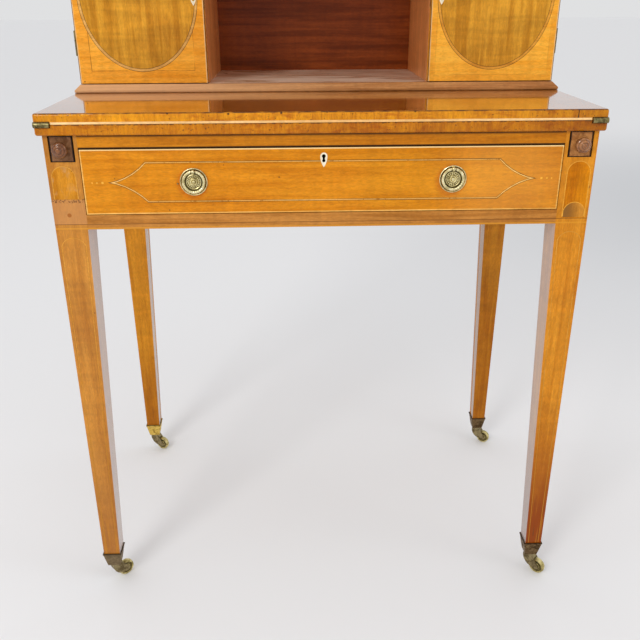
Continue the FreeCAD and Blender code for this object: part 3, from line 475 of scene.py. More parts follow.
def ring_line(piece, skip, width, lift, material, body, open_below=None, broken=None):
    """Cuts a filled outline down to a line of even width along its edge, and raises it a hair."""
    if skip:
        bpy.ops.mesh.select_mode(type="FACE")
        bpy.ops.mesh.inset(thickness=skip)
        bpy.ops.mesh.select_all(action="INVERT")
        bpy.ops.mesh.delete(type="FACE")
        whole()
    bpy.ops.mesh.inset(thickness=width)
    bpy.ops.mesh.delete(type="FACE")
    whole()
    if open_below:
        bpy.ops.mesh.bisect(plane_co=(0, 0, open_below), plane_no=(0, 0, 1), clear_inner=True)
        whole()
    if broken:
        half, above = broken
        for x in (-half, half):
            bpy.ops.mesh.bisect(plane_co=(x, 0, 0), plane_no=(1, 0, 0))
            whole()
        choose(piece, "FACE", lambda face: abs(face.center.x) < half and face.center.z > above)
        bpy.ops.mesh.delete(type="FACE")
        whole()
    return raised(piece, lift, material, body)


def raised(piece, lift, material, body):
    """Gives a flat inlay its thickness and finish."""
    extruded(0, -lift, 0)
    closed()
    piece.data.materials.append(material)
    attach(piece, body)
    return piece


def copied(piece, name, move=(0, 0, 0), turn=(0, 0, 0), flip=False):
    """A second one of a piece with a mesh of its own, moved, turned or mirrored into its place."""
    bpy.ops.object.select_all(action="DESELECT")
    piece.select_set(True)
    bpy.context.view_layer.objects.active = piece
    bpy.ops.object.duplicate(linked=False)
    other = bpy.context.object
    other.name = name
    other.parent = None
    other.location, other.rotation_euler = move, turn
    other.scale.x = -1 if flip else 1
    bpy.ops.object.transform_apply(location=True, rotation=True, scale=True)
    if flip:
        opened()
        closed()
    return other


line_width = 0.0010
arch_middle = 0.3455
arch_half = 0.0163
arch_spring = 0.6902
arch_foot = 0.6274
inlay_at = leg_face + ink_depth


def arched(name, middle, half, foot, spring, rise):
    """An upright panel with a round head."""
    left, right = middle - half, middle + half
    return drawn(name, (left, inlay_at, foot), (
        (left, spring, 0), (right, spring, rise), (right, foot, 0), (left, foot, 0)))


right_arch = ring_line(
    arched("right_stile_arch", arch_middle, arch_half, arch_foot, arch_spring, arch_half),
    0, line_width, 3 * ink_depth, old_boxwood, "carcase", arch_foot + 1.2 * line_width)
left_arch = copied(right_arch, "left_stile_arch", (-2 * arch_middle, 0, 0))
opened()
bpy.ops.mesh.bisect(plane_co=(0, 0, patch_top), plane_no=(0, 0, 1), use_fill=True, clear_inner=True)
bpy.ops.object.mode_set(mode="OBJECT")
left_arch.data.materials[0] = faint_boxwood
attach(left_arch, "carcase")
fill_half = arch_half - line_width / 2
for side, middle, panel_foot, pale, deep in (
        ("left", -arch_middle, patch_top, (0.66, 0.268, 0.020), (0.49, 0.172, 0.007)),
        ("right", arch_middle, arch_foot, (0.68, 0.235, 0.004), (0.47, 0.130, 0.001))):
    arch_wood = wood(side + "_arch_veneer", "z", pale, deep, 0.8, 0.25, 0.15, gloss=0.1)
    if side == "left":
        thin = cloudy(place_on(arch_wood), (60, 60, 34), 4, 0.6, 0.5)
        overlay(arch_wood, (0.56, 0.30, 0.12), ranged(thin, 0.48, 0.66, 0, 0.75))
    raised(arched(f"{side}_stile_panel", middle, fill_half, panel_foot, arch_spring, fill_half),
           2 * ink_depth, arch_wood, "carcase")

head_spring = 0.5960
line_inset = 0.0046
x_out = leg_out - line_inset
x_head = leg_in + line_inset + taper * (frieze_low - head_spring)
x_foot = leg_in + line_inset + taper * (frieze_low - foot_top)
head_rise = 0.72 * (x_out - x_head) / 2
right_line = ring_line(
    drawn("right_leg_line", (x_out, inlay_at, foot_top), (
        (x_out, head_spring, 0), (x_head, head_spring, -head_rise), (x_foot, foot_top, 0),
        (x_out, foot_top, 0))),
    0, line_width, 3 * ink_depth, faint_boxwood, "carcase", foot_top + 1.2 * line_width)
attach(copied(right_line, "left_leg_line", flip=True), "carcase")


# Fan. The right stile keeps a fan of sand-shaded veneer in a boxwood line, glued in at the foot of its
# arch. The left one was lost under the patch.
shell_half = 0.0153
shell_spring = 0.6380
shell_rise = 0.0122
shell_foot = arch_foot + line_width
fan_wood = wood("sand_shaded_fan", "z", (0.64, 0.26, 0.030), (0.44, 0.155, 0.012), 1.2, 0.3, 0.2, gloss=0.1)
scorched = ranged(coordinate(fan_wood, "X"), arch_middle + 0.010, arch_middle - 0.013, 0, 0.9)
overlay(fan_wood, (0.23, 0.100, 0.022), scorched)
for part, shrink in (("fan", 0.0006), ("fan_line", 0)):
    fan = arched(f"right_stile_{part}", arch_middle, shell_half - shrink, shell_foot, shell_spring,
                 shell_rise - shrink)
    if shrink:
        raised(fan, 3 * ink_depth, fan_wood, "carcase")
    else:
        ring_line(fan, 0, 0.0009, 4 * ink_depth, old_boxwood, "carcase", arch_foot + 2.2 * line_width)


# Casters. Tapered brass cups pushed onto the feet, with a forked horn that swivels under each and a brass
# wheel on a riveted axle. The cups are nearly black with age, all but the back left one.
patina, given, made = new_group(
    "patina", {"Place": "Vector", "Bright": "Color", "Dull": "Color", "Polish": "Float"},
    {"Color": "Color", "Roughness": "Float", "Height": "Float"})
stain = cloudy(given["Place"], (130, 130, 130), 5, 0.65, 0.4)
fine = cloudy(given["Place"], (900, 900, 900), 3, 0.6)
stained = ranged(maths("ADD", stain, times(fine, 0.3)), 0.5, 0.82)
feed(made["Color"], mixed(stained, given["Bright"], given["Dull"]))
feed(made["Roughness"], maths("ADD", given["Polish"], times(stained, 0.25)))
feed(made["Height"], maths("ADD", times(stain, 0.5), fine))


def brass(name, bright, dull, polish=0.28, relief=0.15):
    """Old brass, bright where it is rubbed and brown or green where it is not."""
    material, sockets = new_material(name)
    worn = effect(patina, Place=place_on(material), Bright=bright, Dull=dull, Polish=polish)
    feed(sockets["Base Color"], worn["Color"])
    feed(sockets["Roughness"], worn["Roughness"])
    sockets["Metallic"].default_value = 1
    bumped(sockets, worn["Height"], relief, 0.0003)
    return material


cup_brass = brass("cup_bronze", (0.24, 0.155, 0.075), (0.09, 0.052, 0.022), 0.42, 0.3)
on_left = maths("LESS_THAN", coordinate(cup_brass, "X"), 0)
cup_stain = ranged(cloudy(place_on(cup_brass), (170, 170, 170), 4, 0.6, 0.5), 0.44, 0.66)
gilt_cup = mixed(cup_stain, (0.90, 0.64, 0.15), (0.44, 0.26, 0.04))
overlay(cup_brass, gilt_cup, on_left, maths("GREATER_THAN", coordinate(cup_brass, "Y"), 0), 0.92)
overlay(cup_brass, (0.27, 0.205, 0.115), on_left, maths("LESS_THAN", coordinate(cup_brass, "Y"), 0), 0.6)
overlay(cup_brass, (0.035, 0.024, 0.014), ranged(coordinate(cup_brass, "Z"), 0.0595, 0.0605), 0.6)
dress(cup_brass, "caster_cups")
horn_brass = brass("horn_brass", (0.36, 0.29, 0.15), (0.14, 0.10, 0.045), 0.38, 0.3)
hub_edge = 0.0056
rim_edge = 0.0099
for joint in frame["joints"]:
    if not joint["name"].endswith("_roll"):
        continue
    end = joint["name"].removesuffix("_roll")
    dress(horn_brass, end + "_caster_fork")
    wheel_brass = brass(end + "_wheel_brass", (0.84, 0.72, 0.34), (0.34, 0.27, 0.09), 0.32, 0.3)
    from_hub = vectors("SUBTRACT", place_on(wheel_brass), joint["pos_m"])
    off_axle = vectors("CROSS_PRODUCT", from_hub, joint["axis"])
    web = between(vectors("DISTANCE", off_axle, (0, 0, 0)), hub_edge, rim_edge, 0.0004)
    overlay(wheel_brass, (0.09, 0.065, 0.022), web, 0.85)
    dress(wheel_brass, end + "_caster_wheel")


# Rails. Side rails of satinwood and a back rail of oak are tenoned into the legs, and two thin rails
# over and under the drawer close the front.
rail_low, rail_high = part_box("front_top_rail")
top_rail_wood = wood("top_rail_satinwood", "x", (0.68, 0.250, 0.010), (0.48, 0.150, 0.003), 0.8, 0.15, 0.17)
rail_up = coordinate(top_rail_wood, "Z")
drawer_shadow = ranged(rail_up, rail_low.z + 0.0026, rail_low.z + 0.0012)
overlay(top_rail_wood, (0.014, 0.006, 0.001), drawer_shadow, 0.97)
# Painted shade and dirt darken the top of the rail, under the overhang of the top.
overhang_shade_and_dirt = ranged(rail_up, rail_high.z - 0.0040, rail_high.z - 0.0012)
overlay(top_rail_wood, (0.07, 0.026, 0.005), overhang_shade_and_dirt, 0.9)
dress(top_rail_wood, "front_top_rail")
bottom_rail_wood = wood("bottom_rail_satinwood", "x", (0.55, 0.225, 0.042), (0.38, 0.135, 0.017), 1.0, 0.15,
                        0.17)
collared(bottom_rail_wood)
dress(bottom_rail_wood, "front_bottom_rail")
side_wood = wood("side_satinwood", "y", (0.58, 0.225, 0.018), (0.41, 0.135, 0.005), 0.8, 0.25, 0.16)
dress(side_wood, "left_side_rail", "right_side_rail")
oak = wood("bare_oak", "x", (0.46, 0.265, 0.115), (0.31, 0.165, 0.062), 1.1, 0.05, 0.5)
dress(oak, "back_rail")


# Runners and guides. Oak strips inside the frame that carry the drawer, stop it from tipping and keep the
# lopers straight.
long_oak = wood("bare_long_oak", "y", (0.46, 0.265, 0.115), (0.31, 0.165, 0.062), 1.1, 0.05, 0.5)
dress(long_oak, "drawer_runners", "loper_guides")


# Top. A fixed board screwed to the frame, with a second board behind the leaf that carries the stage. The
# upper face is polished like glass, and the front edge is crossbanded.
def banded_top(name, box, edge_pale, edge_deep):
    """A top of long-grained veneer with a crossbanded front edge."""
    material = wood(name, "x", (0.46, 0.150, 0.012), (0.28, 0.075, 0.003), 0.7, 0.15, 0.04, box, 0.003, 0.25)
    at = place_on(material)
    band = effect(wood_figure, Grain=along_grain(at, "z"), Pale=edge_pale, Deep=edge_deep, Contrast=0.35,
                  Ripple=0.12, Polish=0.15)
    on_edge = ranged(coordinate(material, "Y"), box[0].y + 0.0030, box[0].y + 0.0022)
    blotch = ranged(cloudy(at, (26, 26, 70), 6, 0.7, 0.8), 0.45, 0.68, 0.0, 0.8)
    edging = mixed(blotch, band["Color"], (0.66, 0.47, 0.3), "MULTIPLY")
    crossed = ranged(cloudy(at, (120, 120, 26), 5, 0.7, 0.5), 0.44, 0.64, 0.0, 0.6)
    edging = mixed(crossed, edging, (0.76, 0.60, 0.36), "MULTIPLY")
    darker = ranged(coordinate(material, "X"), 0.05, 0.35, 0, 0.8)
    overlay(material, mixed(darker, edging, (0.80, 0.78, 0.9), "MULTIPLY"), on_edge)
    crumbs = ranged(cloudy(at, (330, 330, 330), 2, 0.6), 0.66, 0.71)
    overlay(material, (0.09, 0.03, 0.006), on_edge, crumbs, 0.8)
    feed(material.node_tree.nodes["Principled BSDF"].inputs["Coat Weight"], maths("SUBTRACT", 1.0, on_edge))
    return material


fixed_low, fixed_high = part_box("fixed_top")
fixed_wood = banded_top("fixed_top_veneer", (fixed_low, fixed_high), (0.66, 0.236, 0.003),
                        (0.46, 0.139, 0.001))
# Painted shade of the gap under the leaf, broken into dashes along the top of the front edge.
gap_shade = ranged(cloudy(place_on(fixed_wood), (260, 20, 20), 2, 0.6), 0.45, 0.55, 0.1, 0.85)
overlay(fixed_wood, (0.10, 0.04, 0.01), gap_shade,
        ranged(coordinate(fixed_wood, "Z"), fixed_high.z - 0.0014, fixed_high.z - 0.0009),
        ranged(coordinate(fixed_wood, "Y"), fixed_low.y + 0.0010, fixed_low.y + 0.0005))
dress(fixed_wood, "fixed_top")
rear_wood = wood("rear_top_mahogany", "x", (0.40, 0.155, 0.045), (0.26, 0.085, 0.020), 0.9, 0.15, 0.2)
dress(rear_wood, "rear_top")


# Writing leaf. A board of the same thickness that folds forward onto the lopers. A boxwood strip runs along
# its lower front edge, and its upper edge is dark with dents.
leaf_low, leaf_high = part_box("writing_leaf")
band_joint = 0.3325
leaf_dents = ((-0.201, 0.0012, 0.0016), (-0.123, 0.0022, 0.0018), (-0.055, 0.0015, 0.0020),
              (0.004, 0.0011, 0.0012), (0.118, 0.0013, 0.0014), (0.287, 0.0010, 0.0012))
leaf_wood = banded_top("leaf_veneer", (leaf_low, leaf_high), (0.85, 0.345, 0.008), (0.60, 0.210, 0.003))
leaf_front = ranged(coordinate(leaf_wood, "Y"), leaf_low.y + 0.004, leaf_low.y + 0.003)
off_joint = maths("ABSOLUTE", maths("SUBTRACT", coordinate(leaf_wood, "X"), band_joint))
overlay(leaf_wood, (0.03, 0.012, 0.006), leaf_front, ranged(off_joint, 0.0008, 0.0004))
overlay(leaf_wood, (0.07, 0.024, 0.008), leaf_front,
        ranged(coordinate(leaf_wood, "Z"), leaf_high.z - 0.0021, leaf_high.z - 0.0006),
        ranged(cloudy(place_on(leaf_wood), (70, 70, 70), 4, 0.7), 0.3, 0.6, 0.4, 0.95))
for x, below, size in leaf_dents:
    dent = spot(leaf_wood, x, leaf_high.z - below, size * 0.5, size)
    overlay(leaf_wood, (0.04, 0.015, 0.006), leaf_front, dent, 0.9)
dress(leaf_wood, "writing_leaf")
boxwood = wood("boxwood", "x", (0.97, 0.66, 0.32), (0.84, 0.48, 0.17), 0.8, 0.1, 0.2)


def framed(name, face, x, z):
    """An upright rectangle on a front face."""
    return drawn(name, (x[0], face + ink_depth, z[0]), (
        (x[0], z[1], 0), (x[1], z[1], 0), (x[1], z[0], 0), (x[0], z[0], 0)))


strip_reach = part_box("leaf_hinge_moving_plates")[1].x - 0.0215
strip = framed("leaf_boxwood_strip", leaf_low.y, (-strip_reach, strip_reach),
               (leaf_low.z + 0.0002, leaf_low.z + 0.0030))
raised(strip, 3 * ink_depth, boxwood, "leaf")


# Hinges of the leaf. Brass plates let into the meeting faces of leaf and top at the front corners, each held
# by two screws, with their knuckles just outside the front edge.
hinge_brass = brass("hinge_brass", (0.32, 0.27, 0.12), (0.085, 0.062, 0.020), 0.34)
dress(hinge_brass, "leaf_hinge_fixed_plates", "leaf_hinge_moving_plates", "hinge_pins")


def joined(name, pieces):
    bpy.ops.object.select_all(action="DESELECT")
    for piece in pieces:
        piece.select_set(True)
    bpy.context.view_layer.objects.active = pieces[0]
    bpy.ops.object.join()
    pieces[0].name = name
    return pieces[0]


screw_radius = 0.0020
screw_depth = 0.0006
slot_half = 0.0003
screw_proud = 0.00005
screws_across = (-0.3672, -0.3574, 0.3574, 0.3672)
screws_back = -0.1985
screw = begun("screw", bpy.ops.mesh.primitive_cylinder_add, vertices=32, radius=screw_radius,
              depth=screw_depth)
for edge_at in (-slot_half, slot_half):
    opened()
    bpy.ops.mesh.bisect(plane_co=(0, edge_at, 0), plane_no=(0, 1, 0))
choose(screw, "FACE", lambda face: face.normal.z > 0.9 and abs(face.center.y) < slot_half)
extruded(0, 0, -0.7 * screw_depth)
closed()
screw.data.materials.append(hinge_brass)
for body, face, flip in (("carcase", fixed_high.z, 0), ("leaf", leaf_low.z, math.pi)):
    sunk = (screw_depth / 2 - screw_proud) * (1 if flip else -1)
    heads = joined(body + "_hinge_screws", [
        copied(screw, "hinge_screw", (x, screws_back, face + sunk), (flip, 0, 40 * x))
        for x in screws_across])
    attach(heads, body)
bpy.data.objects.remove(screw)


# Writing surfaces. Two plain panels of green leather glued into shallow beds in the fixed top and the leaf,
# so that they meet while the leaf is folded. Each lies a hair below the face of its bed.
hide, hide_sockets = new_material("green_hide")
hide_at = place_on(hide)
hide_wear = ranged(cloudy(hide_at, (9, 9, 9), 5, 0.6, 0.4), 0.4, 0.75)
feed(hide_sockets["Base Color"], mixed(hide_wear, (0.030, 0.085, 0.040), (0.085, 0.120, 0.055)))
feed(hide_sockets["Roughness"], ranged(hide_wear, 0, 1, 0.42, 0.62))
bumped(hide_sockets, cells(hide_at, 900)["Distance"], 0.35, 0.0003)
hide_sunk = Vector((0, 0, 0.00012))
for node, under, body, name, facing in (
        ("fixed_top_leather", "fixed_top", "carcase", "fixed_top_hide", 1),
        ("writing_leaf_leather", "writing_leaf", "leaf", "leaf_hide", -1)):
    low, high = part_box(node)
    panel = begun(name, bpy.ops.mesh.primitive_cube_add, scale=high - low, size=1,
                  location=(low + high) / 2 - facing * hide_sunk)
    panel.data.materials.append(hide)
    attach(panel, body)
    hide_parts(node)


# Lopers. Mahogany bars that slide out under the open leaf, each with a turned knob screwed into its front
# end and a stop peg near its back. The rim of each front end is painted black: painted shade of the gap
# round the bar.
for side, pale, deep in (("left", (0.25, 0.115, 0.05), (0.14, 0.055, 0.02)),
                         ("right", (0.50, 0.215, 0.062), (0.30, 0.112, 0.028))):
    low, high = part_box(side + "_loper")
    loper_wood = wood(side + "_loper_mahogany", "y", pale, deep, 1.1, 0.1, 0.25, (low, high), 0.003)
    # Painted shade: a black rim on the front end stands for the gap round the bar.
    inside = times(between(coordinate(loper_wood, "X"), low.x + 0.0014, high.x - 0.0014, 0.0002),
                   between(coordinate(loper_wood, "Z"), low.z + 0.0012, high.z - 0.0012, 0.0002))
    at_end = ranged(coordinate(loper_wood, "Y"), low.y + 0.0030, low.y + 0.0012, 0.2, 0.9)
    overlay(loper_wood, (0.016, 0.008, 0.005), maths("SUBTRACT", 1.0, inside), at_end)
    dress(loper_wood, side + "_loper", side + "_loper_peg")


def lathe(name, centre, profile, steps=72):
    """Turns a profile of radius and height in millimetres about an axis straight out of the drawer front."""
    x, y, z = centre
    piece = begun(name, bpy.ops.mesh.primitive_plane_add, size=0.0001,
                  location=(x, y - profile[0][1] / 1000, z))
    opened()
    bpy.ops.mesh.merge(type="CENTER")
    for (r0, h0), (r1, h1) in zip(profile, profile[1:]):
        extruded((r1 - r0) / 1000, (h0 - h1) / 1000, 0)
    whole()
    bpy.ops.mesh.spin(steps=steps, angle=2 * math.pi, center=centre, axis=(0, 1, 0))
    whole()
    bpy.ops.mesh.remove_doubles(threshold=0.000005)
    closed()
    bpy.ops.object.shade_smooth_by_angle(angle=math.radians(35))
    return piece


knob_profile = (
    (0, 17.0), (1.8, 16.9), (3.1, 16.4), (3.7, 15.7), (4.1, 15.3), (5.0, 15.3), (6.4, 14.7), (7.2, 13.8),
    (7.5, 13.1), (8.1, 12.9), (9.3, 12.0), (10.2, 10.6), (10.5, 9.0), (10.2, 8.1), (8.2, 7.1), (5.8, 6.2),
    (5.2, 5.2), (5.2, 3.2), (6.2, 2.5), (7.3, 1.7), (7.5, 1.0), (7.5, 0), (4, 0), (4, -11), (0, -11))
knob_grooves = ((0.0034, 0.0046), (0.0070, 0.0082), (0.0097, 0.0120))
low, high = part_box("left_loper_knob")
left_x, knob_z = (low.x + high.x) / 2, (low.z + high.z) / 2
knobs_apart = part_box("right_loper_knob")[0].x - low.x
left_knob = lathe("left_turned_knob", (left_x, leg_face, knob_z), knob_profile)
right_knob = copied(left_knob, "right_turned_knob", (knobs_apart, 0, 0))
for side, knob, knob_x, name, pale, deep in (
        ("left", left_knob, left_x, "knob_mahogany", (0.25, 0.090, 0.026), (0.12, 0.036, 0.009)),
        ("right", right_knob, left_x + knobs_apart, "worn_knob_mahogany", (0.40, 0.165, 0.055),
         (0.22, 0.075, 0.020))):
    finish = wood(name, "y", pale, deep, 1.0, 0.1, 0.08, gloss=0.3, coat=0.4)
    # Dark rings in the grooves of the knob: grime, and painted shade that gives the knob depth.
    for inner, outer in knob_grooves:
        within = [spot(finish, knob_x, knob_z, edge - 0.0003, edge + 0.0003) for edge in (outer, inner)]
        overlay(finish, (0.05, 0.018, 0.006), maths("SUBTRACT", *within), 0.45)
    knob.data.materials.append(finish)
    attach(knob, side + "_loper")
    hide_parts(side + "_loper_knob")


# Drawer. A satinwood front dovetailed to oak sides, with a boxwood edge, a lined panel that ends in two
# lancet points and three small boxwood squares beyond each point.
drawer_low, drawer_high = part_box("drawer_front")
drawer_face = drawer_low.y
pull_out = 0.174
pull_up = 0.6841
keyhole_up = drawer_high.z - 0.0114
drawer_wood = wood("drawer_satinwood", "x", (0.75, 0.275, 0.010), (0.58, 0.185, 0.002), 0.7, 0.13, 0.13,
                   (drawer_low, drawer_high), 0.0025)
rubbed = ranged(cloudy(place_on(drawer_wood), (7, 7, 22), 4, 0.6, 0.7), 0.42, 0.7, 0.0, 0.6)
overlay(drawer_wood, (0.84, 0.72, 0.5), rubbed, blend="MULTIPLY")
# Painted shade: the walls of the keyhole are painted nearly black.
overlay(drawer_wood, (0.012, 0.008, 0.006), spot(drawer_wood, 0, keyhole_up - 0.003, 0.0062, 0.0067),
        ranged(coordinate(drawer_wood, "Y"), drawer_face + 0.0012, drawer_face + 0.0018))
for x in (-pull_out, pull_out):
    halo = spot(drawer_wood, x - 0.0022, pull_up - 0.003, 0.0175, 0.0245)
    overlay(drawer_wood, (0.78, 0.5, 0.3), halo, 0.55, blend="MULTIPLY")
overlay(drawer_wood, (0.88, 0.90, 0.7), spot(drawer_wood, 0.11, pull_up, 0.02, 0.10), 0.7, blend="MULTIPLY")
overlay(drawer_wood, (0.84, 0.42, 0.10), spot(drawer_wood, 0.25, pull_up, 0.03, 0.12), 0.2)
dress(drawer_wood, "drawer_front")
dress(long_oak, "drawer_left_side", "drawer_right_side")
dress(oak, "drawer_back", "drawer_bottom")
ebony = wood("ebony", "x", (0.20, 0.075, 0.012), (0.07, 0.026, 0.006), 1.4, 0.1, 0.2)
edge_boxwood = wood("edge_boxwood", "x", (0.94, 0.52, 0.13), (0.76, 0.36, 0.06), 0.8, 0.1, 0.2)
top_line = ranged(coordinate(edge_boxwood, "Z"), drawer_high.z - 0.0020, drawer_high.z - 0.0018)
overlay(edge_boxwood, (1.0, 0.76, 0.38), top_line, 0.6)
worn_boxwood = wood("worn_boxwood", "x", (0.98, 0.58, 0.17), (0.84, 0.44, 0.09), 0.8, 0.1, 0.2)
lost = ranged(cloudy(place_on(worn_boxwood), (120, 4, 40), 4, 0.75), 0.55, 0.62, 0.3, 0.85)
off_point = ranged(maths("ABSOLUTE", coordinate(worn_boxwood, "X")), 0.242, 0.236)
overlay(worn_boxwood, (0.46, 0.17, 0.014), lost, off_point)
square_boxwood = wood("square_boxwood", "x", (0.94, 0.50, 0.07), (0.80, 0.36, 0.03), 0.8, 0.1, 0.2,
                      gloss=0.05)

edge_line = framed("drawer_edge_line", drawer_face, (drawer_low.x, drawer_high.x),
                   (drawer_low.z, drawer_high.z))
ring_line(edge_line, 0, 0.0016, 3 * ink_depth, edge_boxwood, "drawer")
tip, corner, panel_low, panel_high, hollow = 0.2883, 0.237, 0.656, 0.7112, -0.0048
panel_middle = (panel_low + panel_high) / 2
panel_runs = (
    (-corner, panel_high, hollow), (corner, panel_high, 0), (tip, panel_middle, hollow),
    (corner, panel_low, hollow), (-corner, panel_low, 0), (-tip, panel_middle, hollow))
ebony_outer, boxwood_width, ebony_inner = 0.0007, 0.0013, 0.0004
keyhole_gap = (0.0038, panel_middle)
for part, skip, width, lift, finish in (
        ("ebony", 0, ebony_outer + boxwood_width + ebony_inner, 2, ebony),
        ("boxwood", ebony_outer, boxwood_width, 3, worn_boxwood)):
    line = drawn("drawer_panel_" + part, (-tip, drawer_face + ink_depth, panel_middle), panel_runs)
    ring_line(line, skip, width, lift * ink_depth, finish, "drawer", broken=keyhole_gap)
for number, (out, half) in enumerate(((0.2952, 0.0014), (0.3026, 0.0011), (0.309, 0.0009)), 1):
    square = framed(f"left_drawer_square_{number}", drawer_face, (-out - half, -out + half),
                    (panel_middle - half, panel_middle + half))
    raised(square, 3 * ink_depth, square_boxwood, "drawer")
    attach(copied(square, f"right_drawer_square_{number}", flip=True), "drawer")


# Ring pulls. Cast brass: a round plate with a raised rim, a petalled boss and a post at the top, held by a
# bolt and nut through the drawer front, and a chased ring that swings on a pin through the post.
ring_radius = 0.0139
ring_section = 0.0021
ring_ahead = 0.0035
ring_gap = 0.0029
chasing_depth = 0.00032
post_up = pull_up + ring_radius
pull_brass = brass("pull_brass", (0.97, 0.88, 0.54), (0.55, 0.46, 0.21), 0.28, 0.3)


def at_pulls(inside, outside):
    """Shows a round place in the middle of each pull."""
    return maths("ADD", *(spot(pull_brass, x, pull_up, inside, outside) for x in (-pull_out, pull_out)))


sunk_in = ranged(coordinate(pull_brass, "Y"), drawer_face - 0.0024, drawer_face - 0.0016)
in_boss = at_pulls(0.0096, 0.0104)
dirt_left = maths("SUBTRACT", 0.92, times(in_boss, 0.18))
overlay(pull_brass, (0.06, 0.042, 0.010), sunk_in, at_pulls(0.0158, 0.0164), dirt_left)
fluted = maths("SUBTRACT", in_boss, at_pulls(0.0052, 0.0058))
overlay(pull_brass, (0.66, 0.62, 0.50), fluted, 0.75, blend="MULTIPLY")
plate_profile = (
    (0, 4.8), (1.2, 4.7), (2.1, 4.3), (2.5, 3.5), (2.8, 2.3), (3.1, 3.4), (3.7, 3.9), (4.4, 3.7), (4.9, 3.0),
    (5.2, 1.7), (8.6, 1.5), (9.0, 2.6), (9.6, 2.9), (10.2, 2.6), (10.6, 1.6), (10.9, 1.0), (15.6, 0.9),
    (16.2, 1.3), (16.7, 2.2), (17.5, 2.7), (18.2, 2.3), (18.6, 1.3), (18.6, 0), (2.2, 0), (2.2, -20),
    (5.2, -20), (5.5, -20.3), (5.5, -22.7), (5.2, -23), (0, -23))
post_profile = ((0, 7.0), (1.2, 6.8), (2.1, 6.2), (2.6, 5.3), (2.6, 0.8), (0, 0.8))
pin_profile = ((0, 1.0), (0.7, 0.9), (1.2, 0.4), (1.3, 0), (0, 0))
petal_count = 18
petal_out = 0.0070
petal_size = (0.0022, 0.0012, 0.0012)
petal = begun("petal", bpy.ops.mesh.primitive_uv_sphere_add, scale=petal_size, segments=12, ring_count=8,
              radius=1, location=(petal_out, -0.0020, 0))
choose(petal, "VERT", lambda vertex: vertex.co.x < petal_out - 0.0001)
bpy.ops.transform.resize(value=(1, 1, 0.8), center_override=(0, 0, 0))
bpy.ops.object.mode_set(mode="OBJECT")
bpy.ops.object.shade_smooth()
petals = joined("petals", [petal] + [
    copied(petal, "petal", turn=(0, 2 * math.pi * number / petal_count, 0))
    for number in range(1, petal_count)])
petals.location = (-pull_out, drawer_face, pull_up)
bpy.ops.object.transform_apply(location=True)
left_plate = joined("left_plate", [
    lathe("left_disc", (-pull_out, drawer_face, pull_up), plate_profile), petals,
    lathe("left_post", (-pull_out, drawer_face, post_up), post_profile, 32)])
plates = joined("chased_plates", [left_plate, copied(left_plate, "right_plate", (2 * pull_out, 0, 0))])
plates.data.materials.append(pull_brass)
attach(plates, "drawer")
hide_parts("ring_pull_backplates")

old_pin = lathe("drawer_pin", (-0.1956, drawer_face, 0.6815), pin_profile, 20)
old_pin.data.materials.append(hinge_brass)
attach(old_pin, "drawer")


def in_groove(vertex):
    """Every fourth step of three degrees round the ring is chased."""
    way = math.degrees(math.atan2(vertex.co.z - pull_up, vertex.co.x + pull_out)) / 3
    return round(way) % 4 == 0


ring = begun("ring", bpy.ops.mesh.primitive_torus_add, major_segments=120, minor_segments=14,
             major_radius=ring_radius, minor_radius=ring_section, rotation=(math.pi / 2, 0, 0),
             location=(-pull_out, drawer_face - ring_ahead, pull_up))
choose(ring, "VERT", in_groove)
bpy.ops.transform.shrink_fatten(value=-chasing_depth)
bpy.ops.object.mode_set(mode="OBJECT")
choose(ring, "VERT", lambda vertex: vertex.co.z > pull_up and abs(vertex.co.x + pull_out) < ring_gap)
bpy.ops.mesh.delete(type="VERT")
whole()
bpy.ops.mesh.fill_holes(sides=0)
closed()
bpy.ops.object.shade_smooth_by_angle(angle=math.radians(50))
pin = begun("pin", bpy.ops.mesh.primitive_cylinder_add, vertices=20, radius=0.001, depth=0.0066,
            rotation=(0, math.pi / 2, 0), location=(-pull_out, drawer_face - ring_ahead, post_up))
opened()
bpy.ops.mesh.bevel(offset=0.0002, segments=2)
bpy.ops.object.mode_set(mode="OBJECT")
left_ring = joined("left_chased_ring", [ring, pin])
left_ring.data.materials.append(pull_brass)
right_ring = copied(left_ring, "right_chased_ring", (2 * pull_out, 0, 0))
for side, ring in (("left", left_ring), ("right", right_ring)):
    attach(ring, side + "_ring")
    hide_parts(side + "_pull_ring")


# Stage. A mahogany base with a sloped edge stands on the back of the top. It carries two cupboards and the
# open recess between them, under one moulded board. Dust lies on the floor of the recess, painted paler to
# stand in for its sheen as well.
door_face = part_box("left_door")[0].y
floor_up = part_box("stage_back")[0].z
stage_wood = wood("stage_mahogany", "x", (0.54, 0.25, 0.085), (0.34, 0.125, 0.032), 1.0, 0.15, 0.2)
# Painted light: the base is painted paler towards its left end, where the light falls from the left.
overlay(stage_wood, (0.74, 0.42, 0.21), ranged(coordinate(stage_wood, "X"), 0.12, -0.30, 0, 0.6))
# Dust on the floor of the recess, painted paler than dust alone as a painted sheen in the shaded recess.
dust_and_sheen = times(ranged(coordinate(stage_wood, "Y"), door_face - 0.002, door_face + 0.010),
             ranged(coordinate(stage_wood, "Z"), floor_up - 0.0006, floor_up - 0.0002),
             ranged(cloudy(place_on(stage_wood), (7, 26, 1), 3, 0.5, 1.4), 0.38, 0.62, 0.35, 0.95))
overlay(stage_wood, (0.68, 0.50, 0.37), dust_and_sheen)
stage_dull = stage_wood.node_tree.nodes["Principled BSDF"].inputs["Roughness"]
feed(stage_dull, maths("MAXIMUM", stage_dull.links[0].from_socket, times(dust_and_sheen, 0.75)))
dress(stage_wood, "stage_base")
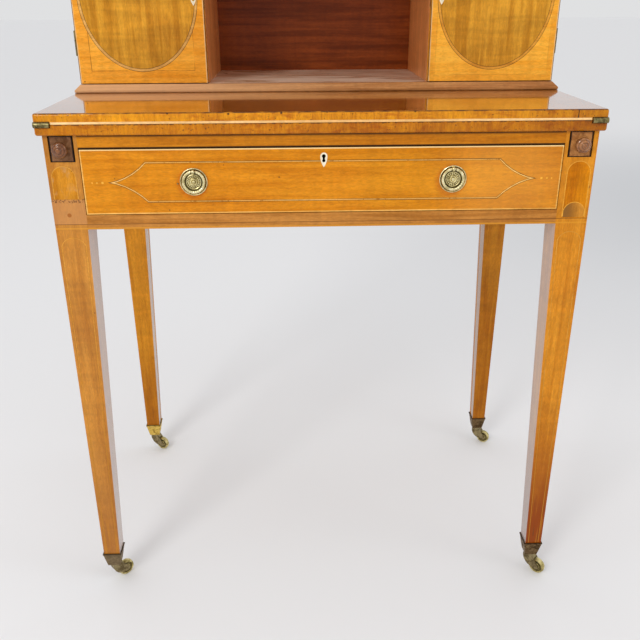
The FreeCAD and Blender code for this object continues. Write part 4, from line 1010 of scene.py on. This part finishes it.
# Painted sheen: the partitions' mahogany is painted much paler, as if lit by light reflected in the recess.
recess_sheen_wood = wood("recess_mahogany_painted_sheen", "z", (0.92, 0.38, 0.12), (0.62, 0.22, 0.055), 0.9, 0.15, 0.25,
                   gloss=0.4)
dress(recess_sheen_wood, "cupboard_partitions")
back_wood = wood("back_mahogany", "x", (0.27, 0.055, 0.007), (0.15, 0.026, 0.002), 0.9, 0.15, 0.25)
dress(back_wood, "stage_back")
end_wood = wood("end_satinwood", "z", (0.66, 0.26, 0.020), (0.48, 0.16, 0.006), 0.8, 0.25, 0.16)
dress(end_wood, "left_cupboard_end", "right_cupboard_end")
cover_wood = wood("cover_satinwood", "x", (0.60, 0.23, 0.018), (0.43, 0.145, 0.006), 0.8, 0.2, 0.12)
dress(cover_wood, "cupboard_top")


# Doors. Satinwood boards hung at their outer edges, crossbanded at the border, each with an oval of darker
# figured veneer in a boxwood and ebony line. The right line has darkened almost to the colour of the door.
def to_ends(value, low, high):
    """How far a coordinate is from the nearer end of its range."""
    return maths("MINIMUM", maths("SUBTRACT", value, low), maths("SUBTRACT", high, value))


for side, border, cut, pale, deep in (("left", 0.0186, 0.9, (0.99, 0.46, 0.052), (0.82, 0.32, 0.016)),
                                      ("right", 0.0098, 0.35, (1.0, 0.50, 0.054), (0.92, 0.37, 0.018))):
    low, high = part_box(side + "_door")
    door_wood = wood(side + "_door_satinwood", "x", pale, deep, 0.6, 0.13, 0.13, (low, high), 0.0025)
    door_at = place_on(door_wood)
    to_side = to_ends(coordinate(door_wood, "X"), low.x, high.x)
    to_edge = maths("MINIMUM", to_side, to_ends(coordinate(door_wood, "Z"), low.z, high.z))
    in_front = ranged(coordinate(door_wood, "Y"), low.y + 0.0006, low.y + 0.0003)
    overlay(door_wood, (0.86, 0.74, 0.6), ranged(to_edge, border + 0.0002, border - 0.0002), 0.5,
            blend="MULTIPLY")
    kept = ranged(cloudy(door_at, (22, 22, 22), 3, 0.6, 0.5), 0.40, 0.56, 0.12, cut)
    overlay(door_wood, (0.30, 0.09, 0.008), between(to_edge, border, border + 0.0009, 0.0003), kept)
    chips = ranged(cloudy(door_at, (300, 300, 90), 3, 0.6), 0.35, 0.55, 0.3, 0.85)
    overlay(door_wood, (0.84, 0.54, 0.25), ranged(to_side, 0.0024, 0.0019), chips, in_front)
    # Painted shade of the gaps round the door: a dark line along every edge of its front.
    overlay(door_wood, (0.06, 0.022, 0.005), ranged(to_edge, 0.0010, 0.0006), in_front, 0.92)
    if side == "left":
        nail = spot(door_wood, low.x + 0.0063, low.z + 0.0036, 0.0007, 0.0013)
        overlay(door_wood, (0.14, 0.035, 0.004), nail, in_front, 0.9)
    dress(door_wood, side + "_door")

pale_band = wood("oval_band", "x", (0.78, 0.44, 0.12), (0.62, 0.31, 0.07), 0.8, 0.2, 0.2)
dim_band = wood("dim_oval_band", "x", (0.78, 0.36, 0.045), (0.62, 0.25, 0.022), 0.8, 0.2, 0.2)
oval_wood = wood("oval_veneer", "z", (0.72, 0.34, 0.028), (0.49, 0.20, 0.010), 0.8, 0.4, 0.13)
oval_half = (0.0885, 0.1076)
low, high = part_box("left_door")
middle = ((low.x + high.x) / 2, low.y + ink_depth, (low.z + high.z) / 2)
doors_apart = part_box("right_door")[0].x - low.x
for part, shrink, width, lift, finish, right_finish in (
        ("oval_ebony", 0, 0.0046, 2, ebony, ebony), ("oval_boxwood", 0.0006, 0.0034, 3, pale_band, dim_band),
        ("oval_panel", 0.0046, 0, 2, oval_wood, oval_wood)):
    oval = begun("left_door_" + part, bpy.ops.mesh.primitive_circle_add, vertices=128, radius=1,
                 scale=(oval_half[0] - shrink, oval_half[1] - shrink, 1), fill_type="NGON", location=middle,
                 rotation=(math.pi / 2, 0, 0))
    opened()
    if width:
        ring_line(oval, 0, width, lift * ink_depth, finish, "left_door")
    else:
        raised(oval, lift * ink_depth, finish, "left_door")
    other_oval = copied(oval, "right_door_" + part, (doors_apart, 0, 0))
    other_oval.data.materials[0] = right_finish
    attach(other_oval, "right_door")
dress(hinge_brass, "door_hinge_jamb_plates", "left_door_hinge_plates", "right_door_hinge_plates")


# Locks and keyhole plates. Brass locks let into the back of the drawer front and of the doors, and bone
# shields let in flush round the keyholes.
for name in ("drawer_lock", "left_door_lock", "right_door_lock"):
    lock_brass = brass(name + "_brass", (0.62, 0.46, 0.17), (0.28, 0.18, 0.06), 0.35)
    lock_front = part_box(name)[0].y
    # Painted shade: the front of the lock, seen through the keyhole, is painted nearly black.
    keyhole_shade = ranged(coordinate(lock_brass, "Y"), lock_front + 0.0006, lock_front + 0.0002)
    overlay(lock_brass, (0.008, 0.006, 0.004), keyhole_shade)
    dress(lock_brass, name)
bone = wood("polished_bone", "z", (0.90, 0.83, 0.64), (0.82, 0.72, 0.50), 0.5, 0.05, 0.2, gloss=0.5)
dress(bone, "drawer_escutcheon", "left_door_escutcheon", "right_door_escutcheon")
